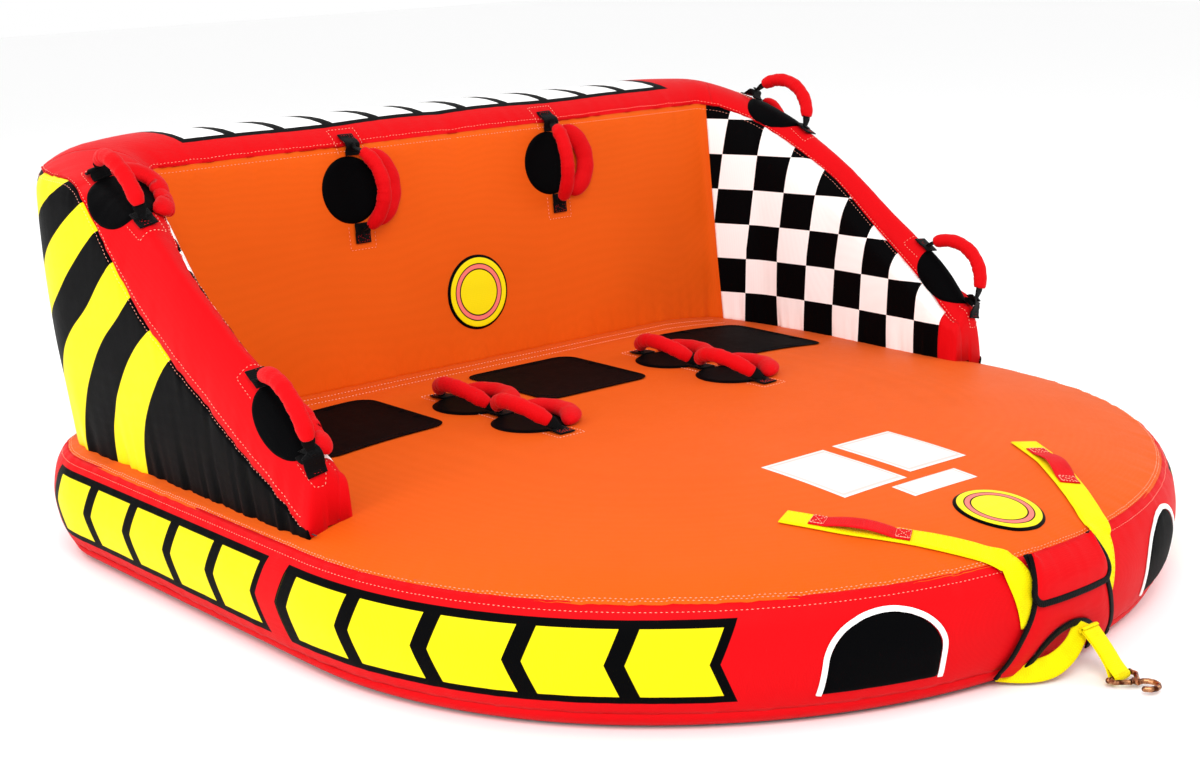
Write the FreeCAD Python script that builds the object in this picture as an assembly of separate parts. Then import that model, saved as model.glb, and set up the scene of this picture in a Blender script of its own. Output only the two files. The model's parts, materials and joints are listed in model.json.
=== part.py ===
import FreeCAD, Part
import math
import os

# A three-rider towable water tube: a D-shaped inflated deck with an inflated backrest and
# two sloping side wings standing on it.  Millimetres.  +Z is up, the nose points to -Y, and
# the origin is the middle of the deck at floor level.  The riders face the nose, so their
# left is +X.
V = FreeCAD.Vector

# ---- driving dimensions -------------------------------------------------------------
half_width = 890.0            # half of the overall inflated width
half_length = 925.0           # half of the inflated deck length
side_height = 203.0           # height of the deck's top seam
crown_height = 262.0          # height of the deck's crowned middle
nose_radius = 939.0           # plan radius of the nose
shoulder_radius = 770.0       # plan radius between the nose and the straight sides
shoulder_y = -105.0           # where the straight sides begin
rear_corner_radius = 280.0
cover_skin = 3.0              # cover cloth with its lining
bladder_skin = 3.0            # bladder wall
bladder_gap = 2.0             # air between the cover and the bladder

backrest_half_width = 690.0   # half width of the backrest's front panel
backrest_front_y = 565.0      # front of the backrest at deck level
backrest_lean = 0.11          # how far the front panel leans back per unit of height
backrest_rear_y = 902.0       # widest part of the backrest, near its top
backrest_seam_z = 733.0       # height of the seam between front panel and top band
backrest_top_z = 769.0
wing_outer_x = 862.0
wing_inner_x = 772.0          # inner face of a wing half way up
wing_tip_y = -66.0
wing_corner_radius = 215.0

pad_width = 260.0             # seat pads
pad_length = 267.0
pad_pitch = 498.0
pad_y = 311.0
pad_height = 4.0

handle_reach = 82.0           # half the distance between a handle's two sewn ends
handle_rise = 60.0            # how far the middle of the grip stands off
handle_axis_rise = 7.0        # hinge line above the panel
grip_radius = 14.5
web_thickness = 3.0
web_width = 20.0
disc_radius = 88.0            # flat pad under each handle
disc_thickness = 2.5
guard_ring_radius = 76.0      # half-ring cushion that shields the knuckles
guard_tube_radius = 16.0
tab_length = 42.0
tab_width = 40.0
tab_thickness = 1.6

deck_handle_x = 256.0
deck_handle_y = (257.0, 79.0)  # rear and front handle of each pair on the deck
backrest_handle_x = 252.0
backrest_handle_z = 636.0
wing_handle_y = (498.0, 2.0)  # upper and lower handle on each wing
wing_handle_offset = 11.0     # how far outside the crest the wing handles are sewn
deck_handle_tilt = -48.0      # how far the resting grips lie over, towards the left is plus
backrest_handle_tilts = (-16.0, 22.0)  # left and right handle

strap_width = 48.0            # yellow towing straps
strap_thickness = 3.0
leash_width = 40.0
leash_thickness = 5.0

valve_z = 112.0               # deck valve in the rear side band
valve_x = -320.0
back_valve_z = 420.0          # backrest valve in the rear panel
back_valve_x = 320.0
valve_recess = 18.0           # the rear panel leans in by this much at the valve
valve_flange_radius = 42.0
valve_cup_radius = 36.0
valve_neck_radius = 20.0
valve_cap_radius = 26.0
flap_size = 104.0             # cloth flaps over the valves

zip_half_length = 520.0
zip_z = 44.0

# Leading edge of a wing, for several distances back: heights of the inner seam, of the
# rounded crest and of the outer seam.
wing_profile = (
    (-200.0, 262.0, 300.0, 215.0), (-66.0, 300.0, 335.0, 229.0), (0.0, 342.0, 394.0, 268.0),
    (100.0, 410.0, 462.0, 324.0), (200.0, 480.0, 527.0, 386.0), (300.0, 557.0, 594.0, 446.0),
    (400.0, 630.0, 657.0, 519.0), (500.0, 690.0, 705.0, 625.0), (560.0, 714.0, 726.0, 690.0),
    (620.0, 736.0, 744.0, 726.0), (720.0, 795.0, 795.0, 795.0),
)
wing_inner_edge_x = 770.0
wing_crest_x = 806.0
wing_outer_edge_x = 858.0


def save(name, shape):
    """Write one named sub-part."""
    os.makedirs("parts", exist_ok=True)
    solids = [s for s in shape.Solids if s.Volume > 1.0]
    result = solids[0] if len(solids) == 1 else Part.makeCompound(solids)
    result.exportStep("parts/" + name + ".step")
    pieces[name] = result


pieces = {}


def arc(start, middle, end):
    return Part.Arc(start, middle, end).toShape()


def line(start, end):
    return Part.makeLine(start, end)


def prism(points, direction):
    """Solid swept from a closed flat polygon."""
    wire = Part.makePolygon(list(points) + [points[0]])
    return Part.Face(wire).extrude(direction)


def box(low, high):
    size = high - low
    return Part.makeBox(size.x, size.y, size.z, low)


def group(shapes):
    return Part.makeCompound([s for shape in shapes for s in shape.Solids])


def mirrored(shape):
    return shape.mirror(V(0, 0, 0), V(1, 0, 0))


# ---- deck ---------------------------------------------------------------------------
def deck_outline(inset, z):
    """The D-shaped plan of the deck, moved inwards by inset."""
    nose_centre = V(0, nose_radius - half_length, z)
    shoulder_centre = V(half_width - shoulder_radius, shoulder_y, z)
    along = (shoulder_centre - nose_centre).normalize()
    shoulder = shoulder_radius - inset
    meet = shoulder_centre + along * shoulder
    nose = V(0, inset - half_length, z)
    nose_middle = nose_centre + (along + V(0, -1, 0)).normalize() * (nose_radius - inset)
    shoulder_middle = shoulder_centre + (along + V(1, 0, 0)).normalize() * shoulder
    widest = V(half_width - inset, shoulder_y, z)
    corner = max(rear_corner_radius - inset, 20.0)
    corner_x = half_width - inset - corner
    corner_y = half_length - inset - corner
    bend = corner * math.sqrt(0.5)
    side_end = V(half_width - inset, corner_y, z)
    corner_middle = V(corner_x + bend, corner_y + bend, z)
    rear_end = V(corner_x, half_length - inset, z)

    def flip(p):
        return V(-p.x, p.y, p.z)

    edges = [
        arc(nose, nose_middle, meet),
        arc(meet, shoulder_middle, widest),
        line(widest, side_end),
        arc(side_end, corner_middle, rear_end),
        line(rear_end, flip(rear_end)),
        arc(flip(rear_end), flip(corner_middle), flip(side_end)),
        line(flip(side_end), flip(widest)),
        arc(flip(widest), flip(shoulder_middle), flip(meet)),
        arc(flip(meet), flip(nose_middle), nose),
    ]
    return Part.Wire(edges)


def deck_solid(grow):
    """The inflated deck, made larger all round (but not below the floor) by grow."""
    crown = crown_height - side_height
    levels = [
        (max(0.0, -grow), 60.0),
        (30.0, 22.0),
        (70.0, 6.0),
        (115.0, 0.0),
        (160.0, 6.0),
        (side_height + grow, 27.0),
        (side_height + 0.40 * crown + grow, 120.0),
        (side_height + 0.74 * crown + grow, 260.0),
        (side_height + 0.93 * crown + grow, 400.0),
        (crown_height + grow, 520.0),
    ]
    wires = [deck_outline(inset - grow, z) for z, inset in levels]
    return Part.makeLoft(wires, True, True)


def on_deck(region, low, high):
    """A layer of the given thickness lying on the deck's skin inside a region."""
    return region.common(deck_solid(high)).cut(deck_solid(low))


# ---- backrest and wings -------------------------------------------------------------
def bolster_plan(half_x, front_y, rear_y, radius, z):
    bend = radius * (1 - math.sqrt(0.5))
    right_side = V(half_x, rear_y - radius, z)
    right_bend = V(half_x - bend, rear_y - bend, z)
    right_rear = V(half_x - radius, rear_y, z)
    left_rear = V(-right_rear.x, rear_y, z)
    left_bend = V(-right_bend.x, right_bend.y, z)
    left_side = V(-half_x, right_side.y, z)
    edges = [
        line(V(half_x, front_y, z), right_side),
        arc(right_side, right_bend, right_rear),
        line(right_rear, left_rear),
        arc(left_rear, left_bend, left_side),
        line(left_side, V(-half_x, front_y, z)),
        line(V(-half_x, front_y, z), V(half_x, front_y, z)),
    ]
    return Part.Wire(edges)


def bolster_outside(shrink):
    """The rounded block the backrest and both wings are cut from."""
    levels = [
        (150.0, 36.0, 59.0),
        (225.0, 24.0, 49.0),
        (320.0, 12.0, 34.0),
        (420.0, 5.0, 18.0),
        (560.0, 0.0, 4.0),
        (680.0 - shrink, 0.0, 0.0),
        (730.0 - shrink, 11.0, 10.0),
        (backrest_top_z + 9.0 - shrink, 55.0, 52.0),
    ]
    wires = []
    for z, side_inset, rear_inset in levels:
        wires.append(bolster_plan(
            wing_outer_x - side_inset - shrink, wing_tip_y + shrink,
            backrest_rear_y - rear_inset - shrink, wing_corner_radius - side_inset - shrink, z,
        ))
    return Part.makeLoft(wires, True, True)


def backrest_top(shrink):
    """Everything under the rounded top of the backrest."""
    profile = (
        (-300.0, backrest_seam_z), (619.0, backrest_seam_z), (650.0, 749.0),
        (700.0, 763.0), (756.0, backrest_top_z), (815.0, 763.0), (868.0, 744.0),
        (920.0, 690.0),
    )
    points = [V(-1000, y, z - shrink) for y, z in profile]
    points += [V(-1000, 920.0, 100.0), V(-1000, -300.0, 100.0)]
    return prism(points, V(2000, 0, 0))


def rider_space(grow):
    """The space between the wings, in front of the backrest's front panel."""
    wires = []
    for z, wing_x in ((100.0, wing_inner_x - 36.0), (900.0, wing_inner_x + 32.0)):
        back = backrest_front_y + backrest_lean * (z - 240.0) + grow
        half = [
            (backrest_half_width + grow, back),
            (backrest_half_width + 43.0 + grow, back - 115.0),
            (wing_x - 14.0 + grow, back - 208.0),
            (wing_x + grow, back - 300.0),
            (wing_x + grow, -500.0),
        ]
        points = [V(x, y, z) for x, y in half]
        points += [V(-x, y, z) for x, y in reversed(half)]
        wires.append(Part.makePolygon(points + [points[0]]))
    return Part.makeLoft(wires, True, True)


def above_wing(side, drop):
    """Everything above the slanting leading band of one wing."""
    wires = []
    rows = [(y, z_in, z_top, z_out) for y, z_in, z_top, z_out in wing_profile]
    sections = (
        (wing_inner_edge_x - 100.0, lambda r: r[1]),
        (wing_inner_edge_x, lambda r: r[1]),
        (wing_crest_x, lambda r: r[2]),
        (wing_outer_edge_x, lambda r: r[3]),
        (wing_outer_edge_x + 60.0, lambda r: r[3] - 60.0),
    )
    for x, height in sections:
        points = [V(side * x, row[0], height(row) - 1.25 * drop) for row in rows]
        points.append(V(side * x, 720.0, 1100.0))
        points.append(V(side * x, -200.0, 1100.0))
        wires.append(Part.makePolygon(points + [points[0]]))
    return Part.makeLoft(wires, True, True)


def bolster_solid(shrink, floor_shape):
    body = bolster_outside(shrink).common(backrest_top(shrink))
    body = body.cut(rider_space(shrink))
    body = body.cut(above_wing(1, shrink)).cut(above_wing(-1, shrink))
    return body.cut(floor_shape)


def wing_crest(y):
    """Point on a wing's crest at distance y, with its slope and outward normal."""
    for first, second in zip(wing_profile, wing_profile[1:]):
        if first[0] <= y <= second[0]:
            break
    share = (y - first[0]) / (second[0] - first[0])
    height = first[2] + share * (second[2] - first[2])
    slope = V(0, second[0] - first[0], second[2] - first[2]).normalize()
    height -= 0.5 * wing_handle_offset
    lean_out = math.radians(16.0)
    square = V(0, -slope.z, slope.y)
    normal = (square * math.cos(lean_out) + V(math.sin(lean_out), 0, 0)).normalize()
    return V(wing_crest_x + wing_handle_offset, y, height), slope, normal


# ---- handles ------------------------------------------------------------------------
def place(origin, along, normal):
    """Placement that turns local X along the handle and local Z off the panel."""
    x = V(along).normalize()
    z = V(normal).normalize()
    y = z.cross(x).normalize()
    m = FreeCAD.Matrix(
        x.x, y.x, z.x, origin.x,
        x.y, y.y, z.y, origin.y,
        x.z, y.z, z.z, origin.z,
        0, 0, 0, 1,
    )
    return FreeCAD.Placement(m)


def handle_arch():
    """Radius and centre height of the handle's arch."""
    radius = (handle_reach ** 2 + handle_rise ** 2) / (2 * handle_rise)
    return radius, handle_axis_rise + handle_rise - radius


def arch_band(width, thickness, first, last):
    """Flat webbing bent along the arch between two angles from the top."""
    radius, centre = handle_arch()
    low = radius - thickness / 2
    face = prism([
        V(0, -width / 2, centre + low), V(0, width / 2, centre + low),
        V(0, width / 2, centre + low + thickness), V(0, -width / 2, centre + low + thickness),
    ], V(1, 0, 0)).Faces
    flat = [f for f in face if abs(f.CenterOfMass.x) < 1e-6][0]
    flat.rotate(V(0, 0, centre), V(0, 1, 0), first)
    return flat.revolve(V(0, 0, centre), V(0, 1, 0), last - first)


def handle_web():
    """The webbing of a handle, narrow where it pivots at its sewn ends."""
    radius, centre = handle_arch()
    foot_angle = math.degrees(math.asin(handle_reach / radius))
    web = arch_band(web_width, web_thickness, -55.0, 55.0)
    for side in (-1, 1):
        first, last = sorted((side * 50.0, side * foot_angle))
        web = web.fuse(arch_band(9.0, web_thickness, first, last))
        foot = Part.makeCylinder(4.5, 14.0, V(side * handle_reach - 7.0, 0, handle_axis_rise),
                                 V(1, 0, 0))
        web = web.fuse(foot)
    return web.removeSplitter()


def handle_grip():
    """Foam sleeve around the webbing."""
    radius, centre = handle_arch()
    half_angle = 50.0
    circle = Part.makeCircle(grip_radius, V(0, 0, centre + radius), V(1, 0, 0))
    face = Part.Face(Part.Wire(circle))
    face.rotate(V(0, 0, centre), V(0, 1, 0), -half_angle)
    tube = face.revolve(V(0, 0, centre), V(0, 1, 0), 2 * half_angle)
    return tube.cut(arch_band(web_width, web_thickness, -60.0, 60.0))


def handle_tabs():
    """The two sewn-down ends of the webbing; their undersides are trimmed to the panel."""
    start = handle_reach - 12.0
    low = V(start, -tab_width / 2, -30.0)
    high = V(start + tab_length, tab_width / 2, tab_thickness)
    tab = box(low, high)
    return group([tab, mirrored(tab)])


def handle_disc():
    """Flat round pad under the handle."""
    return Part.makeCylinder(disc_radius, disc_thickness + 30.0, V(0, 0, -30.0))


def handle_guard():
    """Half-ring cushion beside the grip, on the pad's left-hand edge."""
    centre = disc_thickness + 0.75 * guard_tube_radius
    circle = Part.makeCircle(guard_tube_radius, V(0, -guard_ring_radius, centre), V(1, 0, 0))
    face = Part.Face(Part.Wire(circle))
    face.rotate(V(0, 0, 0), V(0, 0, 1), -52.0)
    ring = face.revolve(V(0, 0, 0), V(0, 0, 1), 104.0)
    below = box(V(-200, -200, -60), V(200, 200, disc_thickness))
    return ring.cut(below)


def handle_places():
    """Every handle: name, where it is sewn, which way it lies, and its resting tilt."""
    places = []
    lean = math.atan(backrest_lean)
    up_panel = V(0, math.sin(lean), math.cos(lean))
    off_panel = V(0, -math.cos(lean), math.sin(lean))
    panel_y = backrest_front_y + backrest_lean * (backrest_handle_z - 240.0)
    for side, word in ((1, "left"), (-1, "right")):
        for y, level in zip(deck_handle_y, ("rear", "front")):
            spot = V(side * deck_handle_x, y, crown_height)
            name = word + "_deck_" + level + "_handle"
            places.append((name, spot, V(0, 1, 0), V(0, 0, 1), deck_handle_tilt))
        spot = V(side * backrest_handle_x, panel_y, backrest_handle_z)
        tilt = backrest_handle_tilts[0 if side > 0 else 1]
        places.append((word + "_backrest_handle", spot, up_panel, off_panel, tilt))
        for y, level in zip(wing_handle_y, ("upper", "lower")):
            crest, slope, normal = wing_crest(y)
            turned = V(normal.x * side, normal.y, normal.z)
            spot = V(crest.x * side, crest.y, crest.z) + turned * 5.0
            places.append((word + "_wing_" + level + "_handle", spot, slope, turned, 0.0))
    return places


def handle_axis(place_row):
    """Hinge line of one handle: a point on it and its direction."""
    name, spot, along, normal, tilt = place_row
    return spot + V(normal) * handle_axis_rise, V(along)


# ---- nose ---------------------------------------------------------------------------
def ribbon(path, width):
    """Flat polygon of a strap of constant width following a path seen from above."""
    left = []
    right = []
    for i, point in enumerate(path):
        before = path[max(i - 1, 0)]
        after = path[min(i + 1, len(path) - 1)]
        along = (after - before).normalize()
        side = V(-along.y, along.x, 0) * (width / 2)
        left.append(point + side)
        right.append(point - side)
    return left + right[::-1]


def tow_strap_path():
    return [V(295, -607, 0), V(256, -690, 0), V(202, -768, 0), V(155, -834, 0),
            V(116, -892, 0), V(88, -950, 0)]


def nose_shape(points):
    """A prism through the nose with the given outline seen from the front."""
    return prism([V(x, -1100.0, z) for x, z in points], V(0, 400, 0))


def nose_panel_outline(inset):
    return [(78.0 - inset, 199.0), (86.0 - inset, 140.0), (140.0 - 1.2 * inset, 22.0),
            (-140.0 + 1.2 * inset, 22.0), (-86.0 + inset, 140.0), (-78.0 + inset, 199.0)]


def tow_mouth(grow):
    """Arched opening low in the nose panel, where the towing webbing comes out."""
    arch = []
    for step in range(13):
        angle = math.pi * step / 12
        arch.append(((80.0 + grow) * math.cos(angle), 18.0 + (66.0 + grow) * math.sin(angle)))
    return nose_shape([(80.0 + grow, 0.0)] + arch + [(-80.0 - grow, 0.0)])


def flap_outline(inset):
    low = 132.0 + inset
    wide = 94.0 - inset
    points = [(73.0 - inset, 196.0), (wide - 2.0, 155.0)]
    for step in range(5):
        angle = math.pi / 2 * step / 4
        points.append((wide - 18.0 + 18.0 * math.cos(angle), low + 18.0 - 18.0 * math.sin(angle)))
    return points + [(-x, z) for x, z in reversed(points)]


def d_patch(grow):
    """Outline of the arched scuff patch on the front side band."""
    points = [(438.0 + grow, 44.0 - grow)]
    for step in range(13):
        angle = math.pi * step / 12
        x = 345.0 + (88.0 + grow) * math.cos(angle)
        z = 98.0 + (72.0 + grow) * math.sin(angle)
        points.append((x, z))
    points.append((256.0 - grow, 44.0 - grow))
    return nose_shape(points)


# ---- small fittings -----------------------------------------------------------------
def round_y(radius, centre, low, high):
    """Cylinder along Y between two distances from a centre."""
    return Part.makeCylinder(radius, high - low, centre + V(0, low, 0), V(0, 1, 0))


def valve_body(centre):
    """Screw valve sunk in a cup: flange welded to the bladder, cup, and threaded neck."""
    flange = round_y(valve_flange_radius, centre, 0.0, 1.8)
    cup = round_y(valve_cup_radius - 0.1, centre, -19.0, 0.5)
    hollow = round_y(valve_cup_radius - 3.0, centre, -16.5, 5.0)
    neck = round_y(valve_neck_radius, centre, -17.0, -4.0)
    bore = round_y(valve_neck_radius - 5.0, centre, -14.0, 0.0)
    return flange.fuse(cup).cut(hollow).fuse(neck).cut(bore).removeSplitter()


def valve_cap(centre):
    """Screw cap with grip notches round its rim."""
    cap = round_y(valve_cap_radius, centre, -12.0, 1.5)
    inside = round_y(valve_neck_radius + 0.08, centre, -13.0, -2.5)
    cap = cap.cut(inside)
    for step in range(12):
        angle = 2 * math.pi * step / 12
        out = V(math.cos(angle), 0, math.sin(angle)) * (valve_cap_radius + 1.2)
        cap = cap.cut(round_y(2.6, centre + out, -14.0, 4.0))
    return cap


def valve_flap():
    """Square cloth flap, hanging from its top edge along local X."""
    half = flap_size / 2
    return box(V(-half, -1.2, -flap_size), V(half, 1.2, 0))


def hook_bar(start, end, radius):
    direction = end - start
    return Part.makeCylinder(radius, direction.Length, start, direction)


def quick_connector():
    """Cast tow hook: a bar through the webbing, a stem, and a horn curled back."""
    x = leash_end.x
    y = leash_end.y
    z = leash_end.z
    shape = hook_bar(V(x - 27, y, z), V(x + 27, y, z), 4.0)
    for side in (-1, 1):
        corner = V(x + side * 27, y, z)
        knee = V(x + side * 27, y - 11, z)
        shape = shape.fuse([Part.makeSphere(5.0, corner), Part.makeSphere(4.0, knee),
                            hook_bar(corner, knee, 4.0),
                            hook_bar(knee, V(x + side * 9, y - 26, z), 4.0)])
    bridge = hook_bar(V(x - 9, y - 26, z), V(x + 9, y - 26, z), 4.5)
    stem = hook_bar(V(x, y - 24, z), V(x, y - 36, z), 5.0)
    shape = shape.fuse([bridge, stem])
    bow = []
    for step in range(9):
        angle = math.radians(-90.0 + 250.0 * step / 8)
        bow.append(V(x + 17.0 * math.cos(angle), y - 34 - 17 - 17.0 * math.sin(angle), z))
    for first, second in zip(bow, bow[1:]):
        shape = shape.fuse([hook_bar(first, second, 4.5), Part.makeSphere(4.5, second)])
    return shape


leash_start = V(18, -946, 72)
leash_end = V(24, -1004, 9.5)


def leash():
    """Doubled webbing between the mouth and the connector, open around the bar."""
    x = leash_end.x
    start = V(x, leash_start.y, leash_start.z)
    along = (leash_end - start).normalize()
    up = V(1, 0, 0).cross(along)
    half = leash_thickness / 2
    far = leash_end - along * 5.0
    corners = [start + up * half, far + up * half, far - up * half, start - up * half]
    left = x - leash_width / 2
    strap = prism([V(left, p.y, p.z) for p in corners], V(leash_width, 0, 0))
    eye = Part.makeCylinder(8.0, leash_width, V(left, leash_end.y, leash_end.z), V(1, 0, 0))
    roll = Part.makeCylinder(5.0, leash_width, V(left, start.y, start.z), V(1, 0, 0))
    hole = Part.makeCylinder(4.06, leash_width + 20, V(left - 10, leash_end.y, leash_end.z),
                             V(1, 0, 0))
    return strap.fuse([eye, roll]).cut(hole).removeSplitter()


def bridle():
    """Webbing that comes up from under the nose to the leash."""
    path = [V(-118, -884, 18), V(-66, -918, 19), V(-20, -934, 26), V(4, -937, 46), V(16, -934, 72)]
    shape = None
    for first, second in zip(path, path[1:]):
        along = (second - first).normalize()
        out = V(0.35, -0.94, 0)
        rise = along.cross(out).normalize()
        half = 16.0
        corner = first - rise * half
        step = second - first
        block = prism([corner, corner + rise * 2 * half,
                       corner + rise * 2 * half + step, corner + step], out.normalize() * 3.0)
        shape = block if shape is None else shape.fuse(block)
    room = Part.makeCylinder(6.0, 200.0, V(-100, leash_start.y, leash_start.z), V(1, 0, 0))
    return shape.cut(room)


# ---- build --------------------------------------------------------------------------
def build_deck():
    outer = deck_solid(0.0)
    inner = deck_solid(-cover_skin)
    shell = outer.cut(inner)
    big = 2000.0
    top = box(V(-big, -big, side_height), V(big, big, 400))
    low = box(V(-big, -big, -10), V(big, big, 30))
    middle = box(V(-big, -big, 30), V(big, big, side_height))
    spot = V(valve_x, half_length, valve_z)
    hole = round_y(valve_flange_radius + 2.0, spot, -40.0, 20.0)
    save("deck_top_panel", shell.common(top))
    save("deck_bottom_panel", shell.common(low))
    save("deck_side_band", shell.common(middle).cut(hole))
    gap = cover_skin + bladder_gap
    chamber = deck_solid(-gap).cut(deck_solid(-gap - bladder_skin))
    chamber = chamber.cut(round_y(valve_cup_radius, spot, -40.0, 20.0))
    save("deck_bladder", chamber)
    return outer


def build_bolster(deck):
    outer = bolster_solid(0.0, deck)
    inner = bolster_solid(cover_skin, deck)
    shell = outer.cut(inner)
    gap = cover_skin + bladder_gap
    chamber = bolster_solid(gap, deck_solid(bladder_gap))
    chamber = chamber.cut(bolster_solid(gap + bladder_skin, deck_solid(bladder_gap + bladder_skin)))
    back_spot = V(back_valve_x, backrest_rear_y, back_valve_z)
    chamber = chamber.cut(round_y(valve_cup_radius, back_spot, -60.0, 20.0))
    seat = back_spot - V(0, valve_recess + gap, 0)
    save("backrest_bladder", chamber.cut(round_y(valve_flange_radius + 0.3, seat, 0.0, 20.0)))

    big = 2000.0
    top = box(V(-big, 590.0, 722.0), V(big, big, 1000))
    save("backrest_top_band", shell.common(top))
    rest = shell.cut(top)
    inner_faces = rider_space(cover_skin)
    for side, word in ((1, "left"), (-1, "right")):
        band = above_wing(side, cover_skin)
        save(word + "_wing_edge_band", rest.common(band))
        rest = rest.cut(band)
    lining = rest.common(inner_faces)
    rest = rest.cut(inner_faces)
    middle = box(V(-backrest_half_width, 0, 0), V(backrest_half_width, big, big))
    save("backrest_front_panel", lining.common(middle))
    sides = lining.cut(middle)
    centre = box(V(-560, 0, 0), V(560, big, big))
    hole = round_y(valve_flange_radius + 2.0, back_spot, -60.0, 20.0)
    save("backrest_rear_panel", rest.common(centre).cut(hole))
    outside = rest.cut(centre)
    for side, word in ((1, "left"), (-1, "right")):
        half = box(V(0, -big, 0), V(big, big, big)) if side > 0 else box(V(-big, -big, 0), V(0, big, big))
        save(word + "_wing_inner_panel", sides.common(half))
        save(word + "_wing_outer_panel", outside.common(half))
    return outer


def build_handles(deck, bolster):
    guards = []
    discs = []
    tabs = {}
    web = handle_web()
    grip = handle_grip()
    centre_line = V(0, 0, handle_axis_rise)
    for name, origin, along, normal, tilt in handle_places():
        spot = place(origin, along, normal)
        for part_name, shape in (("grip", grip), ("webbing", web)):
            copy = shape.copy()
            copy.rotate(centre_line, V(1, 0, 0), tilt)
            copy.Placement = spot.multiply(copy.Placement)
            save(name + "_" + part_name, copy)
        fixed = []
        for shape in (handle_tabs(), handle_disc(), handle_guard()):
            shape.Placement = spot.multiply(shape.Placement)
            fixed.append(shape.cut(deck).cut(bolster))
        run = name.rsplit("_", 2)[0] if "deck" in name else name
        tabs[run] = fixed[0] if run not in tabs else tabs[run].fuse(fixed[0])
        discs.append((run, fixed[1]))
        guards.append((run, fixed[2]))
    flat = []
    for run, disc in discs:
        disc = disc.cut(tabs[run])
        for other in flat:
            disc = disc.cut(other)
        flat.append(disc)
    save("handle_base_discs", group(flat))
    save("knuckle_guards", group([g.cut(tabs[run]) for run, g in guards]))
    save("handle_anchor_tabs", group(tabs.values()))


def rounded_block(x, y, width, length, radius):
    """Upright block with rounded corners, for cutting pads out of the deck's skin."""
    low = V(x - width / 2, y - length / 2, 150)
    block = Part.makeBox(width, length, 200, low)
    upright = [e for e in block.Edges if abs(e.Vertexes[0].Z - e.Vertexes[-1].Z) > 100]
    return block.makeFillet(radius, upright)


def build_seats_and_labels():
    words = ("right", "middle", "left")
    for number, word in enumerate(words):
        x = (number - 1) * pad_pitch
        block = rounded_block(x, pad_y, pad_width, pad_length, 45.0)
        save(word + "_seat_pad", on_deck(block, 0.0, pad_height))
    labels = []
    for x, y, width, length in ((-90, -512, 150, 188), (84, -502, 144, 176), (8, -646, 156, 50)):
        labels.append(on_deck(rounded_block(x, y, width, length, 4.0), 0.0, 1.0))
    save("blank_labels", group(labels))
    deck_badge = on_deck(Part.makeCylinder(73.0, 200.0, V(6, -779, 150)), 0.0, 3.0)
    lean = math.atan(backrest_lean)
    z = 395.0
    y = backrest_front_y + backrest_lean * (z - 240.0)
    off = V(0, -math.cos(lean), math.sin(lean))
    back_badge = Part.makeCylinder(77.0, 3.0, V(15, y, z), off)
    save("round_badges", group([deck_badge, back_badge]))


def build_nose():
    above = box(V(-500, -1200, 108), V(500, 0, 400))
    straps = []
    grabs = []
    for side in (1, -1):
        path = [V(side * p.x, p.y, p.z) for p in tow_strap_path()]
        sheet = prism(ribbon(path, strap_width), V(0, 0, 400)).common(above)
        straps.append((side, on_deck(sheet, 0.0, strap_thickness)))
        short = [V(side * 273, -650, 0), V(side * 246, -706, 0), V(side * 200, -772, 0)]
        sheet = prism(ribbon(short, 36.0), V(0, 0, 400))
        grabs.append((side, on_deck(sheet, strap_thickness, strap_thickness + 2.5)))
    save("tow_straps", group([shape for side, shape in straps]))
    save("grab_straps", group([shape for side, shape in grabs]))

    layer = strap_thickness
    panel = on_deck(nose_shape(nose_panel_outline(7.0)).cut(tow_mouth(7.0)), layer, layer + 2.5)
    edge = nose_shape(nose_panel_outline(0.0)).cut(nose_shape(nose_panel_outline(7.0)))
    rim = tow_mouth(7.0).cut(tow_mouth(0.0)).common(nose_shape(nose_panel_outline(0.0)))
    binding = on_deck(edge.cut(tow_mouth(7.0)).fuse(rim), layer, layer + 3.0)
    save("nose_panel", panel)
    save("nose_panel_binding", binding)
    layer = 8.0
    flap = on_deck(nose_shape(flap_outline(7.0)), layer, layer + 2.5)
    trim = nose_shape(flap_outline(0.0)).cut(nose_shape(flap_outline(7.0)))
    save("nose_flap", flap.fuse(on_deck(trim, layer, layer + 3.0)))
    patch = on_deck(d_patch(0.0), 0.0, 1.5)
    border = on_deck(d_patch(9.0).cut(d_patch(0.0)), 0.0, 2.0)
    patch = patch.fuse(border)
    save("scuff_patches", group([patch, mirrored(patch)]))
    save("tow_bridle", bridle().cut(deck_solid(0.5)).cut(pieces["nose_panel"]).cut(binding))
    save("tow_leash", leash())
    save("quick_connector", quick_connector())


def flap_places():
    """Top edge and lean of the two valve flaps."""
    top = V(valve_x, half_length + 2.2, valve_z + flap_size / 2)
    lean = 14.0 / 140.0
    back_top = V(back_valve_x, backrest_rear_y - 10.6 + 2.6, back_valve_z + flap_size / 2)
    return (("deck", top, 0.0), ("backrest", back_top, lean))


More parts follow.
